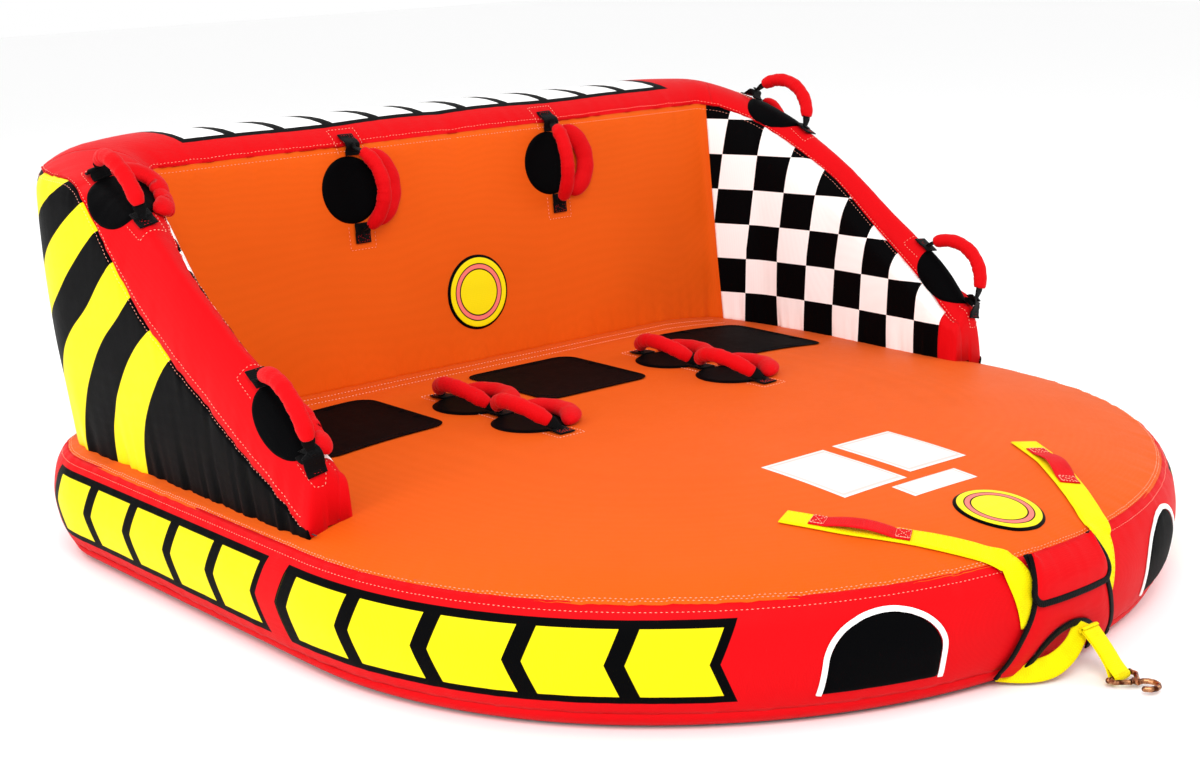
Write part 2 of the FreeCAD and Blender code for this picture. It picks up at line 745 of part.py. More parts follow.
def build_fittings():
    gap = cover_skin + bladder_gap
    deck_spot = V(valve_x, half_length - gap, valve_z)
    back_spot = V(back_valve_x, backrest_rear_y - valve_recess - gap, back_valve_z)
    for word, spot in (("deck", deck_spot), ("backrest", back_spot)):
        save(word + "_valve", valve_body(spot))
        save(word + "_valve_cap", valve_cap(spot))
    for word, top, lean in flap_places():
        flap = valve_flap()
        flap.rotate(V(0, 0, 0), V(1, 0, 0), -math.degrees(math.atan(lean)))
        flap.translate(top)
        save(word + "_valve_flap", flap)
    tape = box(V(-zip_half_length, half_length - 30, zip_z - 14),
               V(zip_half_length, half_length + 3, zip_z + 14))
    tape = tape.cut(deck_solid(0.0))
    teeth = box(V(-zip_half_length, half_length + 3, zip_z - 3),
                V(zip_half_length, half_length + 5, zip_z + 3))
    save("zipper", tape.fuse(teeth).removeSplitter())
    x = -zip_half_length + 30.0
    y = half_length
    slider = box(V(x - 10, y + 3.4, zip_z - 8), V(x + 10, y + 9, zip_z + 8))
    groove = box(V(x - 11, y + 3, zip_z - 3.4), V(x + 11, y + 5.4, zip_z + 3.4))
    lug = box(V(x - 4, y + 9, zip_z - 4), V(x + 4, y + 15, zip_z + 4))
    pin_hole = Part.makeCylinder(1.6, 20, V(x - 10, y + 12, zip_z), V(1, 0, 0))
    save("zipper_slider", slider.cut(groove).fuse(lug).cut(pin_hole))
    ring = Part.makeCylinder(1.55, 14, V(x - 7, y + 12, zip_z), V(1, 0, 0))
    arm_left = box(V(x - 7, y + 10.5, zip_z - 26), V(x - 5, y + 13.5, zip_z + 1.5))
    arm_right = box(V(x + 5, y + 10.5, zip_z - 26), V(x + 7, y + 13.5, zip_z + 1.5))
    plate = box(V(x - 7, y + 10.5, zip_z - 40), V(x + 7, y + 13.5, zip_z - 26))
    save("zipper_pull", ring.fuse([arm_left, arm_right, plate]).removeSplitter())


deck_shape = build_deck()
bolster_shape = build_bolster(deck_shape)
build_handles(deck_shape, bolster_shape)
build_seats_and_labels()
build_nose()
build_fittings()
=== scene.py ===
import json
import math

import bmesh
import bpy
import numpy as np
from mathutils import Matrix, Quaternion, Vector
from mathutils.bvhtree import BVHTree


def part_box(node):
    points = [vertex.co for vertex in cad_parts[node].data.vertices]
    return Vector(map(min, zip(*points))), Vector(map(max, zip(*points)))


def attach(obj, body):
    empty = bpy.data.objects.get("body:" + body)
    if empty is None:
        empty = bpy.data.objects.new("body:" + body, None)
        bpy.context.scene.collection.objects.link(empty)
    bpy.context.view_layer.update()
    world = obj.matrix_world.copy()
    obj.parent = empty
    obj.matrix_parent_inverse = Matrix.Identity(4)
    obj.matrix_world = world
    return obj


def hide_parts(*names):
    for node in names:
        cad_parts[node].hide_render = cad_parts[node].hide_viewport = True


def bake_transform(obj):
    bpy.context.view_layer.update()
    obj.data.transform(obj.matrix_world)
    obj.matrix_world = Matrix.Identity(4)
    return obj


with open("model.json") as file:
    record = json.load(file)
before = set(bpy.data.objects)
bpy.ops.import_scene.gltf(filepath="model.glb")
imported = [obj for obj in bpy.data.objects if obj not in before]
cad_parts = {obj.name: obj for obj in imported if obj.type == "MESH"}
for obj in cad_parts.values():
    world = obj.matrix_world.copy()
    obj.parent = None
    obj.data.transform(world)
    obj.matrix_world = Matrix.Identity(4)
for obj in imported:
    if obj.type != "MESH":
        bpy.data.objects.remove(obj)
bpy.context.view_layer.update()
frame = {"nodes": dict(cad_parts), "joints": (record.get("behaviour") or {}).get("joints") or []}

# A three-rider towable water tube, in metres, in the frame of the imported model: +Z up, the
# nose towards -Y, the riders' left at +X, and the floor at z = 0.
scene = bpy.context.scene

# ---- driving dimensions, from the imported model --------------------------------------
side_low, side_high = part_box("deck_side_band")
half_width = side_high.x
half_length = side_high.y
seam_z = side_high.z                        # top seam of the deck
floor_seam_z = side_low.z                   # seam between side band and bottom panel
crown_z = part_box("deck_top_panel")[1].z     # crowned middle of the deck
nose_radius = 1.0152 * half_length
shoulder_radius = 0.8652 * half_width
shoulder_y = -0.1135 * half_length
corner_radius = 0.3146 * half_width
cover = 0.003                               # thickness of the cover cloth
light_cover = 0.0022                        # thickness of the flaps and the nose panel

panel_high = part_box("backrest_front_panel")[1]
lean = 0.11                                 # backwards lean of the front panel
lean_foot = 0.24                            # height that the lean is measured from
back_half = panel_high.x                    # half width of the front panel
back_seam_z = panel_high.z
back_y = panel_high.y - lean * (back_seam_z - lean_foot)
wing_tip_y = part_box("left_wing_edge_band")[0].y
wing_outer_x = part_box("left_wing_outer_panel")[1].x
rear_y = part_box("backrest_rear_panel")[1].y
top_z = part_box("backrest_top_band")[1].z
wing_corner = 0.215
ahead = -1.3                                # y of a plane in front of the nose
behind = 1.4                                # y of a plane behind the rear
DOWN = (0, 0, -1)
BACKWARDS = (0, 1, 0)
FORWARDS = (0, -1, 0)


# ---- numbers ------------------------------------------------------------------------
def smooth_curve(xs, ys):
    """A monotone curve through the given points, as a function of an array."""
    xs = np.array(xs, float)
    ys = np.array(ys, float)
    step = np.diff(xs)
    slope = np.diff(ys) / step
    inner = np.zeros(len(xs))
    for i in range(1, len(xs) - 1):
        if slope[i - 1] * slope[i] > 0:
            w1 = 2 * step[i] + step[i - 1]
            w2 = step[i] + 2 * step[i - 1]
            inner[i] = (w1 + w2) / (w1 / slope[i - 1] + w2 / slope[i])
    inner[0] = slope[0]
    inner[-1] = slope[-1]

    def value(x):
        x = np.clip(np.asarray(x, float), xs[0], xs[-1])
        i = np.clip(np.searchsorted(xs, x) - 1, 0, len(xs) - 2)
        t = (x - xs[i]) / step[i]
        rise = 2 * t ** 3 - 3 * t ** 2 + 1
        return (rise * ys[i] + (1 - rise) * ys[i + 1]
                + (t ** 3 - 2 * t ** 2 + t) * step[i] * inner[i]
                + (t ** 3 - t ** 2) * step[i] * inner[i + 1])
    return value


def unit(v):
    return v / np.maximum(np.linalg.norm(v, axis=-1, keepdims=True), 1e-12)


def grid_normals(points):
    """Outward normals of a grid whose rows run up and columns run along."""
    along = np.gradient(points, axis=1)
    up = np.gradient(points, axis=0)
    return unit(np.cross(along, up))


def path_length(points):
    step = np.linalg.norm(np.diff(points, axis=0), axis=1)
    return np.concatenate([[0.0], np.cumsum(step)])


def resample(points, count):
    """The same path with evenly spaced points."""
    points = np.array(points, float)
    length = path_length(points)
    at = np.linspace(0, length[-1], count)
    return np.stack([np.interp(at, length, points[:, k]) for k in range(points.shape[1])], 1)


def rounded(points, count, passes=3):
    """A path through the points with its corners rounded."""
    points = np.array(points, float)
    for _ in range(passes):
        cut = [points[:1]]
        for a, b in zip(points, points[1:]):
            cut.append(np.array([0.75 * a + 0.25 * b, 0.25 * a + 0.75 * b]))
        cut.append(points[-1:])
        points = np.vstack(cut)
    return resample(points, count)


def pucker(along, away, height, reach, seed):
    """Small gathers beside a seam: they run across it and fade away from it."""
    wave = np.zeros_like(along)
    draw = np.random.RandomState(seed)
    for pitch in (0.027, 0.041, 0.063, 0.11):
        phase = draw.uniform(0, 2 * math.pi)
        drift = draw.uniform(0.11, 0.19)
        wave += np.sin(2 * math.pi * along / pitch + 2.2 * np.sin(along / drift) + phase)
    return 0.35 * height * wave * np.exp(-np.abs(away) / reach)


def billow(points, height, size, seed):
    """Slow uneven swelling of a taut inflated cloth."""
    draw = np.random.RandomState(seed)
    wave = np.zeros(points.shape[:-1])
    for scale in (1.0, 0.62, 0.41):
        for _ in range(3):
            direction = unit(draw.normal(size=3))
            phase = draw.uniform(0, 2 * math.pi)
            wave += scale * np.sin(2 * math.pi * points @ direction / (size * scale) + phase)
    return height * wave / 3.0


# ---- meshes -------------------------------------------------------------------------
def new_object(name, mesh, paint, node=None, body="tube", slot=None):
    """A painted object that rides on a body and stands in for a CAD node."""
    material, usual_slot = paints[paint]
    obj = bpy.data.objects.new(name, mesh)
    scene.collection.objects.link(obj)
    mesh.materials.append(material)
    mesh.shade_smooth()
    if body:
        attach(obj, body)
    slot or usual_slot
    if node:
        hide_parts(node)
    return obj


def grid_faces(rows, columns):
    """Four-cornered faces of a grid of points, as rows of point numbers."""
    index = np.arange(rows * columns).reshape(rows, columns)
    corners = [index[:-1, :-1], index[:-1, 1:], index[1:, 1:], index[1:, :-1]]
    return np.stack(corners, axis=-1).reshape(-1, 4)


def sheet_mesh(name, points, maps=None, flip=False):
    """Mesh of a grid of points with an optional map in metres; coincident points merge."""
    faces = grid_faces(*points.shape[:2])
    if flip:
        faces = faces[:, ::-1]
    mesh = bpy.data.meshes.new(name)
    mesh.from_pydata(points.reshape(-1, 3).tolist(), [], faces.tolist())
    if maps is not None:
        layer = mesh.uv_layers.new(name="panel")
        flat = maps.reshape(-1, 2)[faces.reshape(-1)]
        layer.data.foreach_set("uv", flat.astype(np.float32).reshape(-1))
    work = bmesh.new()
    work.from_mesh(mesh)
    bmesh.ops.remove_doubles(work, verts=work.verts, dist=1e-5)
    work.to_mesh(mesh)
    work.free()
    return mesh


def sheet(name, points, paint, node, thickness=cover, maps=None, body="tube", flip=False, slot=None):
    """A cloth sheet with real thickness; its outer face is the given grid."""
    obj = new_object(name, sheet_mesh(name, points, maps, flip), paint, node, body, slot)
    solid = obj.modifiers.new("thickness", "SOLIDIFY")
    solid.thickness = thickness
    solid.offset = -1.0
    solid.use_quality_normals = True
    return obj


def joined(name, meshes, paint, node, body="tube"):
    """One object from several meshes."""
    work = bmesh.new()
    for mesh in meshes:
        work.from_mesh(mesh)
    mesh = bpy.data.meshes.new(name)
    work.to_mesh(mesh)
    work.free()
    return new_object(name, mesh, paint, node, body)


def tube_points(path, side, radius, sections=20, flat=1.0):
    """Rings round a path: side gives each ring's first axis, flat squashes the second."""
    path = np.array(path, float)
    along = unit(np.gradient(path, axis=0))
    side = unit(side - along * np.sum(along * side, axis=1, keepdims=True))
    up = np.cross(along, side)
    angle = np.linspace(0, 2 * math.pi, sections + 1)
    radius = np.asarray(radius, float)
    if radius.ndim < 2:
        radius = np.broadcast_to(radius, (len(path),))[:, None]
    ring = (side[:, None, :] * np.cos(angle)[None, :, None]
            + flat * up[:, None, :] * np.sin(angle)[None, :, None])
    return path[:, None, :] + ring * radius[..., None]


def tube_mesh(name, path, side, radius, sections=20, flat=1.0):
    """Closed tube with domed ends."""
    rings = tube_points(path, side, radius, sections, flat)
    caps = [np.tile(ring.mean(axis=0), (1, sections + 1, 1)) for ring in (rings[0], rings[-1])]
    return sheet_mesh(name, np.concatenate([caps[0], rings, caps[1]]))


def band_mesh(name, path, side, up, width, thickness, bow=0.0):
    """Flat webbing along a path with rounded edges, as a closed band."""
    half = np.broadcast_to(np.asarray(width, float) / 2, (len(path),))[:, None]
    profile = [(-1.0, 0.0), (-0.94, 0.8), (-0.6, 1.0), (0.0, 1.0 + bow), (0.6, 1.0), (0.94, 0.8),
               (1.0, 0.0), (0.94, -0.8), (0.6, -1.0), (0.0, -1.0), (-0.6, -1.0), (-0.94, -0.8)]
    profile.append(profile[0])
    length = path_length(path)
    rows = [path + side * half * across + up * thickness / 2 * lift for across, lift in profile]
    maps = [np.stack([length, across * half[:, 0]], 1) for across, _ in profile]
    mesh = sheet_mesh(name, np.array(rows), np.array(maps))
    work = bmesh.new()
    work.from_mesh(mesh)
    bmesh.ops.holes_fill(work, edges=[e for e in work.edges if e.is_boundary], sides=0)
    bmesh.ops.recalc_face_normals(work, faces=work.faces)
    work.to_mesh(mesh)
    work.free()
    return mesh


def stitch_meshes(rows, length=0.0052, pitch=0.0078, width=0.0013, lift=0.0007):
    """Lockstitch threads along rows of (points, normals)."""
    verts = []
    faces = []
    pattern = ((0, 1, 2), (0, 2, 3), (0, 3, 4), (0, 4, 1), (5, 2, 1), (5, 3, 2), (5, 4, 3), (5, 1, 4))
    for points, normals in rows:
        total = path_length(points)
        for a in (np.arange(int(total[-1] / pitch)) + 0.5) * pitch:
            ends = []
            for b in (a - length / 2, a, a + length / 2):
                ends.append(np.array([np.interp(b, total, points[:, k]) for k in range(3)]))
            normal = np.array([np.interp(a, total, normals[:, k]) for k in range(3)])
            across = unit(np.cross(unit(ends[2] - ends[0]), normal)) * width / 2
            raise_by = normal * lift
            base = len(verts)
            verts += [ends[0], ends[1] + across, ends[1] + raise_by * 1.6, ends[1] - across,
                      ends[1] - raise_by, ends[2]]
            faces += [tuple(base + k for k in face) for face in pattern]
    mesh = bpy.data.meshes.new("stitches")
    mesh.from_pydata([tuple(v) for v in verts], [], faces)
    return mesh


# ---- materials ----------------------------------------------------------------------
def linear(red, green, blue):
    """Colour as it looks on a screen, 0 to 255, turned into light."""
    out = []
    for value in (red, green, blue):
        share = value / 255.0
        out.append(share / 12.92 if share <= 0.04045 else ((share + 0.055) / 1.055) ** 2.4)
    return (*out, 1.0)


ORANGE = linear(217, 86, 13)
RED = linear(206, 9, 17)
YELLOW = linear(238, 219, 0)
BLACK = linear(3, 3, 4)
WHITE = linear(250, 249, 247)
PINK = linear(255, 176, 152)
ROSE = linear(238, 120, 110)
LABEL = linear(236, 226, 222)
LABEL_EDGE = linear(226, 120, 104)


class Field:
    """A number worked out point by point by shader nodes."""

    def __init__(self, tree, socket):
        self.tree = tree
        self.socket = socket

    def op(self, kind, *others):
        node = self.tree.nodes.new("ShaderNodeMath")
        node.operation = kind
        for slot_number, value in enumerate((self, *others)):
            if isinstance(value, Field):
                self.tree.links.new(value.socket, node.inputs[slot_number])
            else:
                node.inputs[slot_number].default_value = value
        return Field(self.tree, node.outputs[0])

    def __add__(self, other):
        return self.op("ADD", other)

    def __sub__(self, other):
        return self.op("SUBTRACT", other)

    def __mul__(self, other):
        return self.op("MULTIPLY", other)

    def __truediv__(self, other):
        return self.op("DIVIDE", other)

    def size(self):
        return self.op("ABSOLUTE")

    def fract(self):
        return self.op("FRACT")

    def above(self, edge, blur=0.0004):
        """1 where this is over edge, 0 below, with a narrow blur."""
        node = self.tree.nodes.new("ShaderNodeMapRange")
        self.tree.links.new(self.socket, node.inputs[0])
        node.inputs[1].default_value = edge - blur
        node.inputs[2].default_value = edge + blur
        return Field(self.tree, node.outputs[0])

    def within(self, low, high, blur=0.0004):
        return self.above(low, blur) * (self.above(high, blur) * -1.0 + 1.0)

    def either(self, other):
        return self.op("MAXIMUM", other)


def parts(tree, socket):
    """The three numbers of a vector."""
    split = tree.nodes.new("ShaderNodeSeparateXYZ")
    tree.links.new(socket, split.inputs[0])
    return [Field(tree, split.outputs[k]) for k in range(3)]


def new_tree(name):
    """A new material, its node tree, its shader, and the place on the object as a vector."""
    material = bpy.data.materials.new(name)
    material.use_nodes = True
    tree = material.node_tree
    place = tree.nodes.new("ShaderNodeTexCoord").outputs["Object"]
    return material, tree, tree.nodes["Principled BSDF"], place


def panel_map(tree):
    """The map that the meshes carry."""
    node = tree.nodes.new("ShaderNodeUVMap")
    node.uv_map = "panel"
    return parts(tree, node.outputs[0])[:2]


def noise(tree, vector, scale, detail=3.0, rough=0.55):
    node = tree.nodes.new("ShaderNodeTexNoise")
    node.inputs["Scale"].default_value = scale
    node.inputs["Detail"].default_value = detail
    node.inputs["Roughness"].default_value = rough
    tree.links.new(vector, node.inputs["Vector"])
    return Field(tree, node.outputs["Fac"])


def blend_colour(tree, share, first, second, kind="MIX"):
    """first where share is 0 and second, or their product, where it is 1."""
    node = tree.nodes.new("ShaderNodeMix")
    node.data_type = "RGBA"
    node.blend_type = kind
    tree.links.new(share.socket, node.inputs[0])
    for number, value in ((6, first), (7, second)):
        if isinstance(value, tuple):
            node.inputs[number].default_value = value
        else:
            tree.links.new(value, node.inputs[number])
    return node.outputs[2]


def shade(tree, colour, share, darker):
    """Colour multiplied down to darker where share is 1."""
    return blend_colour(tree, share, colour, (darker, darker, darker, 1.0), "MULTIPLY")


def finish(tree, shader, colour, roughness, height, strength, distance):
    """Gives a shader its colour, its roughness and its relief."""
    tree.links.new(colour, shader.inputs["Base Color"])
    tree.links.new(roughness.socket, shader.inputs["Roughness"])
    bump = tree.nodes.new("ShaderNodeBump")
    bump.inputs["Strength"].default_value = strength
    bump.inputs["Distance"].default_value = distance
    tree.links.new(height.socket, bump.inputs["Height"])
    tree.links.new(bump.outputs[0], shader.inputs["Normal"])


def weave(tree, vector, pitch):
    """Plain weave: threads crossing over and under each other."""
    waves = []
    for direction in ("X", "Y", "Z"):
        node = tree.nodes.new("ShaderNodeTexWave")
        node.bands_direction = direction
        node.inputs["Scale"].default_value = 0.314 / pitch
        tree.links.new(vector, node.inputs["Vector"])
        waves.append(Field(tree, node.outputs["Fac"]))
    return waves[0] * waves[1] + waves[1] * waves[2] + waves[2] * waves[0]


def cloth(name, colour, pitch=0.0022, rough=0.52, sheen=0.02, relief=0.0004, wear=0.10):
    """Woven cloth in one colour, or in the pattern that a function paints, with slow wrinkles,
    uneven fading and scuffing, and painted shade in the hollows between its threads. Dark cloth shines less."""
    material, tree, shader, vector = new_tree(name)
    if callable(colour):
        colour = colour(tree, vector)
    slow = noise(tree, vector, 4.0, 4.0)
    fine = noise(tree, vector, 60.0, 5.0, 0.65)
    threads = weave(tree, vector, pitch)
    faded_and_weave_shaded = shade(tree, colour, slow.above(0.56, 0.14) * wear, 0.62)
    # painted shade: the colour is darkened in the hollows between the weave's threads
    faded_and_weave_shaded = shade(tree, faded_and_weave_shaded, (threads * -0.5 + 1.0) * 0.09, 0.45)
    pale = tree.nodes.new("ShaderNodeRGBToBW")
    tree.links.new(faded_and_weave_shaded, pale.inputs[0])
    shine = Field(tree, pale.outputs[0]) * 0.16 + 0.02
    tree.links.new(shine.socket, shader.inputs["Specular IOR Level"])
    shader.inputs["Sheen Weight"].default_value = sheen
    shader.inputs["Sheen Roughness"].default_value = 0.4
    roughness = slow * 0.16 + fine * 0.14 + (rough - 0.15)
    height = threads * 0.28 + fine * 0.30 + noise(tree, vector, 14.0, 3.0) * 2.2
    finish(tree, shader, faded_and_weave_shaded, roughness, height, 0.55, relief)
    return material


def side_pattern(tree, _):
    """Red with a yellow and black racing band of slanted blocks round each side."""
    black_edge = 0.012
    slant = 0.42
    gap_start = 0.80                             # share of a cell where its black gap starts
    u, z = panel_map(tree)
    middle = 0.5 * (floor_seam_z + seam_z) - 0.002
    block_low = middle - 0.0515
    block_high = middle + 0.0535
    slanted = u.size() + (z - middle).size() * slant
    row = z.within(block_low - black_edge, block_high + black_edge)
    black = None
    yellow = None
    for start, count, pitch in ((0.625, 5, 0.1535), (1.470, 5, 0.1440)):
        block = slanted - start
        inside = block.within(-0.016, pitch * count + 0.004) * row
        bar = (block / pitch).fract().within(0.0, gap_start, 0.004) * block.within(0.0, pitch * count)
        bar = bar * z.within(block_low, block_high)
        black = inside if black is None else black.either(inside)
        yellow = bar if yellow is None else yellow.either(bar)
    return blend_colour(tree, yellow, blend_colour(tree, black, RED, BLACK), YELLOW)


def bottom_pattern(tree, vector):
    """Red where it turns up at the edge, black underneath."""
    return blend_colour(tree, parts(tree, vector)[2].above(0.003), BLACK, RED)


def top_pattern(tree, vector):
    """Red with white black-edged blocks along the top of the backrest."""
    blocks = 11
    slant = 0.35
    x, y, _ = parts(tree, vector)
    across = y - (0.5 * (back_y + rear_y) + 0.012)
    slanted = x + across * slant
    reach = 0.88 * back_half
    cell = (slanted + reach) / (2 * reach / blocks)
    black = slanted.within(-reach - 0.014, reach + 0.004) * across.within(-0.078, 0.086)
    bar = cell.fract().within(0.02, 0.80, 0.004) * across.within(-0.064, 0.073)
    bar = bar * slanted.within(-reach, reach)
    return blend_colour(tree, bar, blend_colour(tree, black, RED, BLACK), WHITE)


def checker_pattern(tree, _):
    """Black and white squares; the columns lean forwards in the upper half."""
    square = 0.0777
    first_column = 0.0345
    first_row = 0.3005
    lean_from = 0.40
    column_lean = 0.085
    u, z = panel_map(tree)
    column = (u + ((z - lean_from) * column_lean).either(0.0) - first_column) / square
    row = (z - first_row) / square
    odd_column, odd_row = ((count * 0.5).fract().above(0.5, 0.003) for count in (column, row))
    return blend_colour(tree, (odd_column - odd_row).size(), BLACK, WHITE)


def hazard_pattern(tree, _):
    """Yellow and black stripes that stand upright at the deck and lean forwards above."""
    first_stripe = 0.464
    pitch = 0.2385
    yellow_share = 0.505
    low, high = 0.20, 0.80
    steps = 10
    shift = smooth_curve((0.20, 0.229, 0.281, 0.355, 0.430, 0.489, 0.555, 0.591, 0.657, 0.695, 0.80),
                         (0.0, 0.002, 0.019, 0.070, 0.140, 0.222, 0.300, 0.345, 0.44, 0.505, 0.70))
    u, z = panel_map(tree)
    curve = tree.nodes.new("ShaderNodeFloatCurve")
    points = curve.mapping.curves[0].points
    for step in range(steps + 1):
        share = step / steps
        height = float(shift(low + share * (high - low)))
        if step in (0, steps):
            points[0 if step == 0 else -1].location = (share, height)
        else:
            points.new(share, height)
    curve.mapping.update()
    tree.links.new(((z - low) / (high - low)).socket, curve.inputs["Value"])
    place = u + Field(tree, curve.outputs[0])
    cell = ((place - first_stripe) / pitch).fract()
    yellow = cell.within(0.0, yellow_share, 0.002) * place.above(first_stripe)
    return blend_colour(tree, yellow, BLACK, YELLOW)


def badge_pattern(tree, _):
    """Plain ringed roundel: yellow centre, thin black line, rosy ring, yellow ring, black rim."""
    share, _ = panel_map(tree)
    colour = YELLOW
    for edge, ring in ((0.60, BLACK), (0.635, ROSE), (0.745, BLACK), (0.775, YELLOW), (0.925, BLACK)):
        colour = blend_colour(tree, share.above(edge, 0.006), colour, ring)
    return colour


def label_pattern(tree, _):
    """Blank printed labels with a faint rosy border."""
    u, v = panel_map(tree)
    edge = u.size().either(v.size()).within(0.86, 0.93, 0.01)
    return blend_colour(tree, edge * 0.35, LABEL, LABEL_EDGE)


def webbing(name, colour):
    """Woven strap: herringbone ribs along its length and grimy patches."""
    material, tree, shader, vector = new_tree(name)
    u, v = panel_map(tree)
    ribs = (u * 1600.0 + (v * 900.0).op("PINGPONG", 3.2)).op("SINE") * 0.5 + 0.5
    grime = noise(tree, vector, 30.0, 4.0)
    tinted = shade(tree, colour, ribs * 0.16 + grime.above(0.60, 0.12) * 0.16, 0.45)
    shader.inputs["Sheen Weight"].default_value = 0.02
    shader.inputs["Specular IOR Level"].default_value = 0.06
    finish(tree, shader, tinted, grime * 0.2 + 0.5, ribs + grime * 0.6, 0.7, 0.0005)
    return material


def plastic(name, colour, rough=0.38):
    """Moulded plastic with fine grit and slow staining."""
    material, tree, shader, vector = new_tree(name)
    grit = noise(tree, vector, 350.0, 4.0, 0.6)
    slow = noise(tree, vector, 25.0, 3.0)
    tinted = shade(tree, colour, slow.above(0.55, 0.15) * 0.2, 0.6)
    finish(tree, shader, tinted, grit * 0.2 + slow * 0.15 + (rough - 0.15), grit, 0.5, 0.0002)
    return material


def metal(name, dark, bright):
    """Cast metal, with uneven patches of dark tarnish and bright metal."""
    material, tree, shader, vector = new_tree(name)
    stain = noise(tree, vector, 70.0, 5.0, 0.6)
    tinted = blend_colour(tree, stain.above(0.52, 0.09), dark, bright)
    shader.inputs["Metallic"].default_value = 0.95
    finish(tree, shader, tinted, stain * 0.3 + 0.2, noise(tree, vector, 240.0, 4.0), 0.4, 0.0004)
    return material


paints = {                                       # each with the name of a material slot
    "orange": (cloth("orange_cloth", ORANGE), "orange_cloth"),
    "red": (cloth("red_cloth", RED), "red_cloth"),
    "black": (cloth("black_cloth", BLACK, rough=0.62, sheen=0.004), "black_cloth"),
    "white": (cloth("white_cloth", WHITE), "label_vinyl"),
    "foam_red": (cloth("red_foam_cover", RED, 0.0026, 0.58, 0.05, 0.0008), "red_foam"),
    "side": (cloth("printed_side_cloth", side_pattern), "red_cloth"),
    "top": (cloth("printed_top_cloth", top_pattern), "red_cloth"),
    "checker": (cloth("checker_cloth", checker_pattern, wear=0.05), "checker_cloth"),
    "hazard": (cloth("striped_cloth", hazard_pattern), "striped_cloth"),
    "under": (cloth("underside_cloth", bottom_pattern), "black_cloth"),
    "badge": (cloth("badge_vinyl", badge_pattern, 0.004, 0.34, 0.0, wear=0.06), "badge_vinyl"),
    "label": (cloth("label_vinyl", label_pattern, 0.004, 0.36, 0.0, wear=0.12), "label_vinyl"),
    "yellow_web": (webbing("yellow_webbing", YELLOW), "yellow_webbing"),
    "red_web": (webbing("red_webbing", RED), "red_cloth"),
    "black_web": (webbing("black_webbing", BLACK), "black_webbing"),
    "binding": (webbing("black_binding", BLACK), "black_cloth"),
    "vinyl": (plastic("bladder_vinyl", linear(60, 62, 66), 0.32), "bladder_vinyl"),
    "plastic": (plastic("valve_plastic", linear(36, 36, 38), 0.42), "valve_plastic"),
    "cap": (plastic("cap_plastic", linear(206, 40, 30), 0.40), "cap_plastic"),
    "thread": (plastic("pale_thread", PINK, 0.7), "label_vinyl"),
    "bronze": (metal("bronze", linear(70, 30, 14), linear(196, 138, 96)), "bronze"),
    "zip": (metal("zip_metal", linear(110, 108, 104), linear(190, 188, 182)), "zip_metal"),
}


def repaint(node, paint):
    """Gives a CAD solid that stays in view its paint."""
    mesh = frame["nodes"][node].data
    mesh.materials.clear()
    mesh.materials.append(paints[paint][0])


# ---- deck ---------------------------------------------------------------------------
def deck_outline(inset):
    """Plan of the deck moved inwards by inset: from the rear middle round by the nose."""
    nose_centre = np.array([0.0, nose_radius - half_length])
    shoulder_centre = np.array([half_width - shoulder_radius, shoulder_y])
    along = unit(shoulder_centre - nose_centre)
    meet = math.atan2(along[1], along[0])
    corner = max(corner_radius - inset, 0.02)
    corner_at = np.array([half_width - inset - corner, half_length - inset - corner])
    stretches = []

    def turn(centre, radius, first, last, count):
        angle = np.linspace(first, last, count, endpoint=False)
        stretches.append(centre + radius * np.stack([np.cos(angle), np.sin(angle)], 1))

    def straight(first, last, count):
        share = np.linspace(0, 1, count, endpoint=False)[:, None]
        stretches.append(np.array(first) * (1 - share) + np.array(last) * share)

    turn(nose_centre, nose_radius - inset, -math.pi / 2, meet, 80)
    turn(shoulder_centre, shoulder_radius - inset, meet, 0.0, 66)
    straight((half_width - inset, shoulder_y), (half_width - inset, corner_at[1]), 82)
    turn(corner_at, corner, 0.0, math.pi / 2, 48)
    straight((corner_at[0], half_length - inset), (0.0, half_length - inset), 66)
    half = np.vstack(stretches + [np.array([[0.0, half_length - inset]])])
    left = half[::-1] * np.array([-1.0, 1.0])
    return np.vstack([left, half[1:]])


outer_plan = deck_outline(0.0)
plan_length = path_length(outer_plan)
plan_u = plan_length - plan_length[-1] / 2       # distance round from the nose tip
crown = crown_z - seam_z
seam_inset = 0.027
side_inset = smooth_curve(
    (0.0, floor_seam_z, 0.070, 0.115, 0.160, seam_z), (0.060, 0.022, 0.006, 0.0, 0.006, seam_inset))
crown_height = smooth_curve(
    (seam_inset, 0.120, 0.260, 0.400, 0.520), (seam_z, seam_z + 0.40 * crown, seam_z + 0.74 * crown,
                                               seam_z + 0.93 * crown, crown_z))


def edge_distance(xy):
    """Distance of plan points from the deck's outline."""
    best = np.full(xy.shape[:-1], 9.0)
    for a, b in zip(outer_plan[:-1], outer_plan[1:]):
        line = b - a
        share = np.clip(((xy - a) @ line) / (line @ line), 0, 1)
        gap = np.linalg.norm(xy - a - share[..., None] * line, axis=-1)
        best = np.minimum(best, gap)
    return best


def deck_height(xy):
    """Height of the crowned deck at plan points."""
    return crown_height(np.maximum(edge_distance(xy), seam_inset))


def seam_valley(away):
    """The seam pulls the cloth in: a narrow valley."""
    return -0.0030 * np.exp(-(away / 0.0055) ** 2) - 0.0022 * np.exp(-away / 0.022)


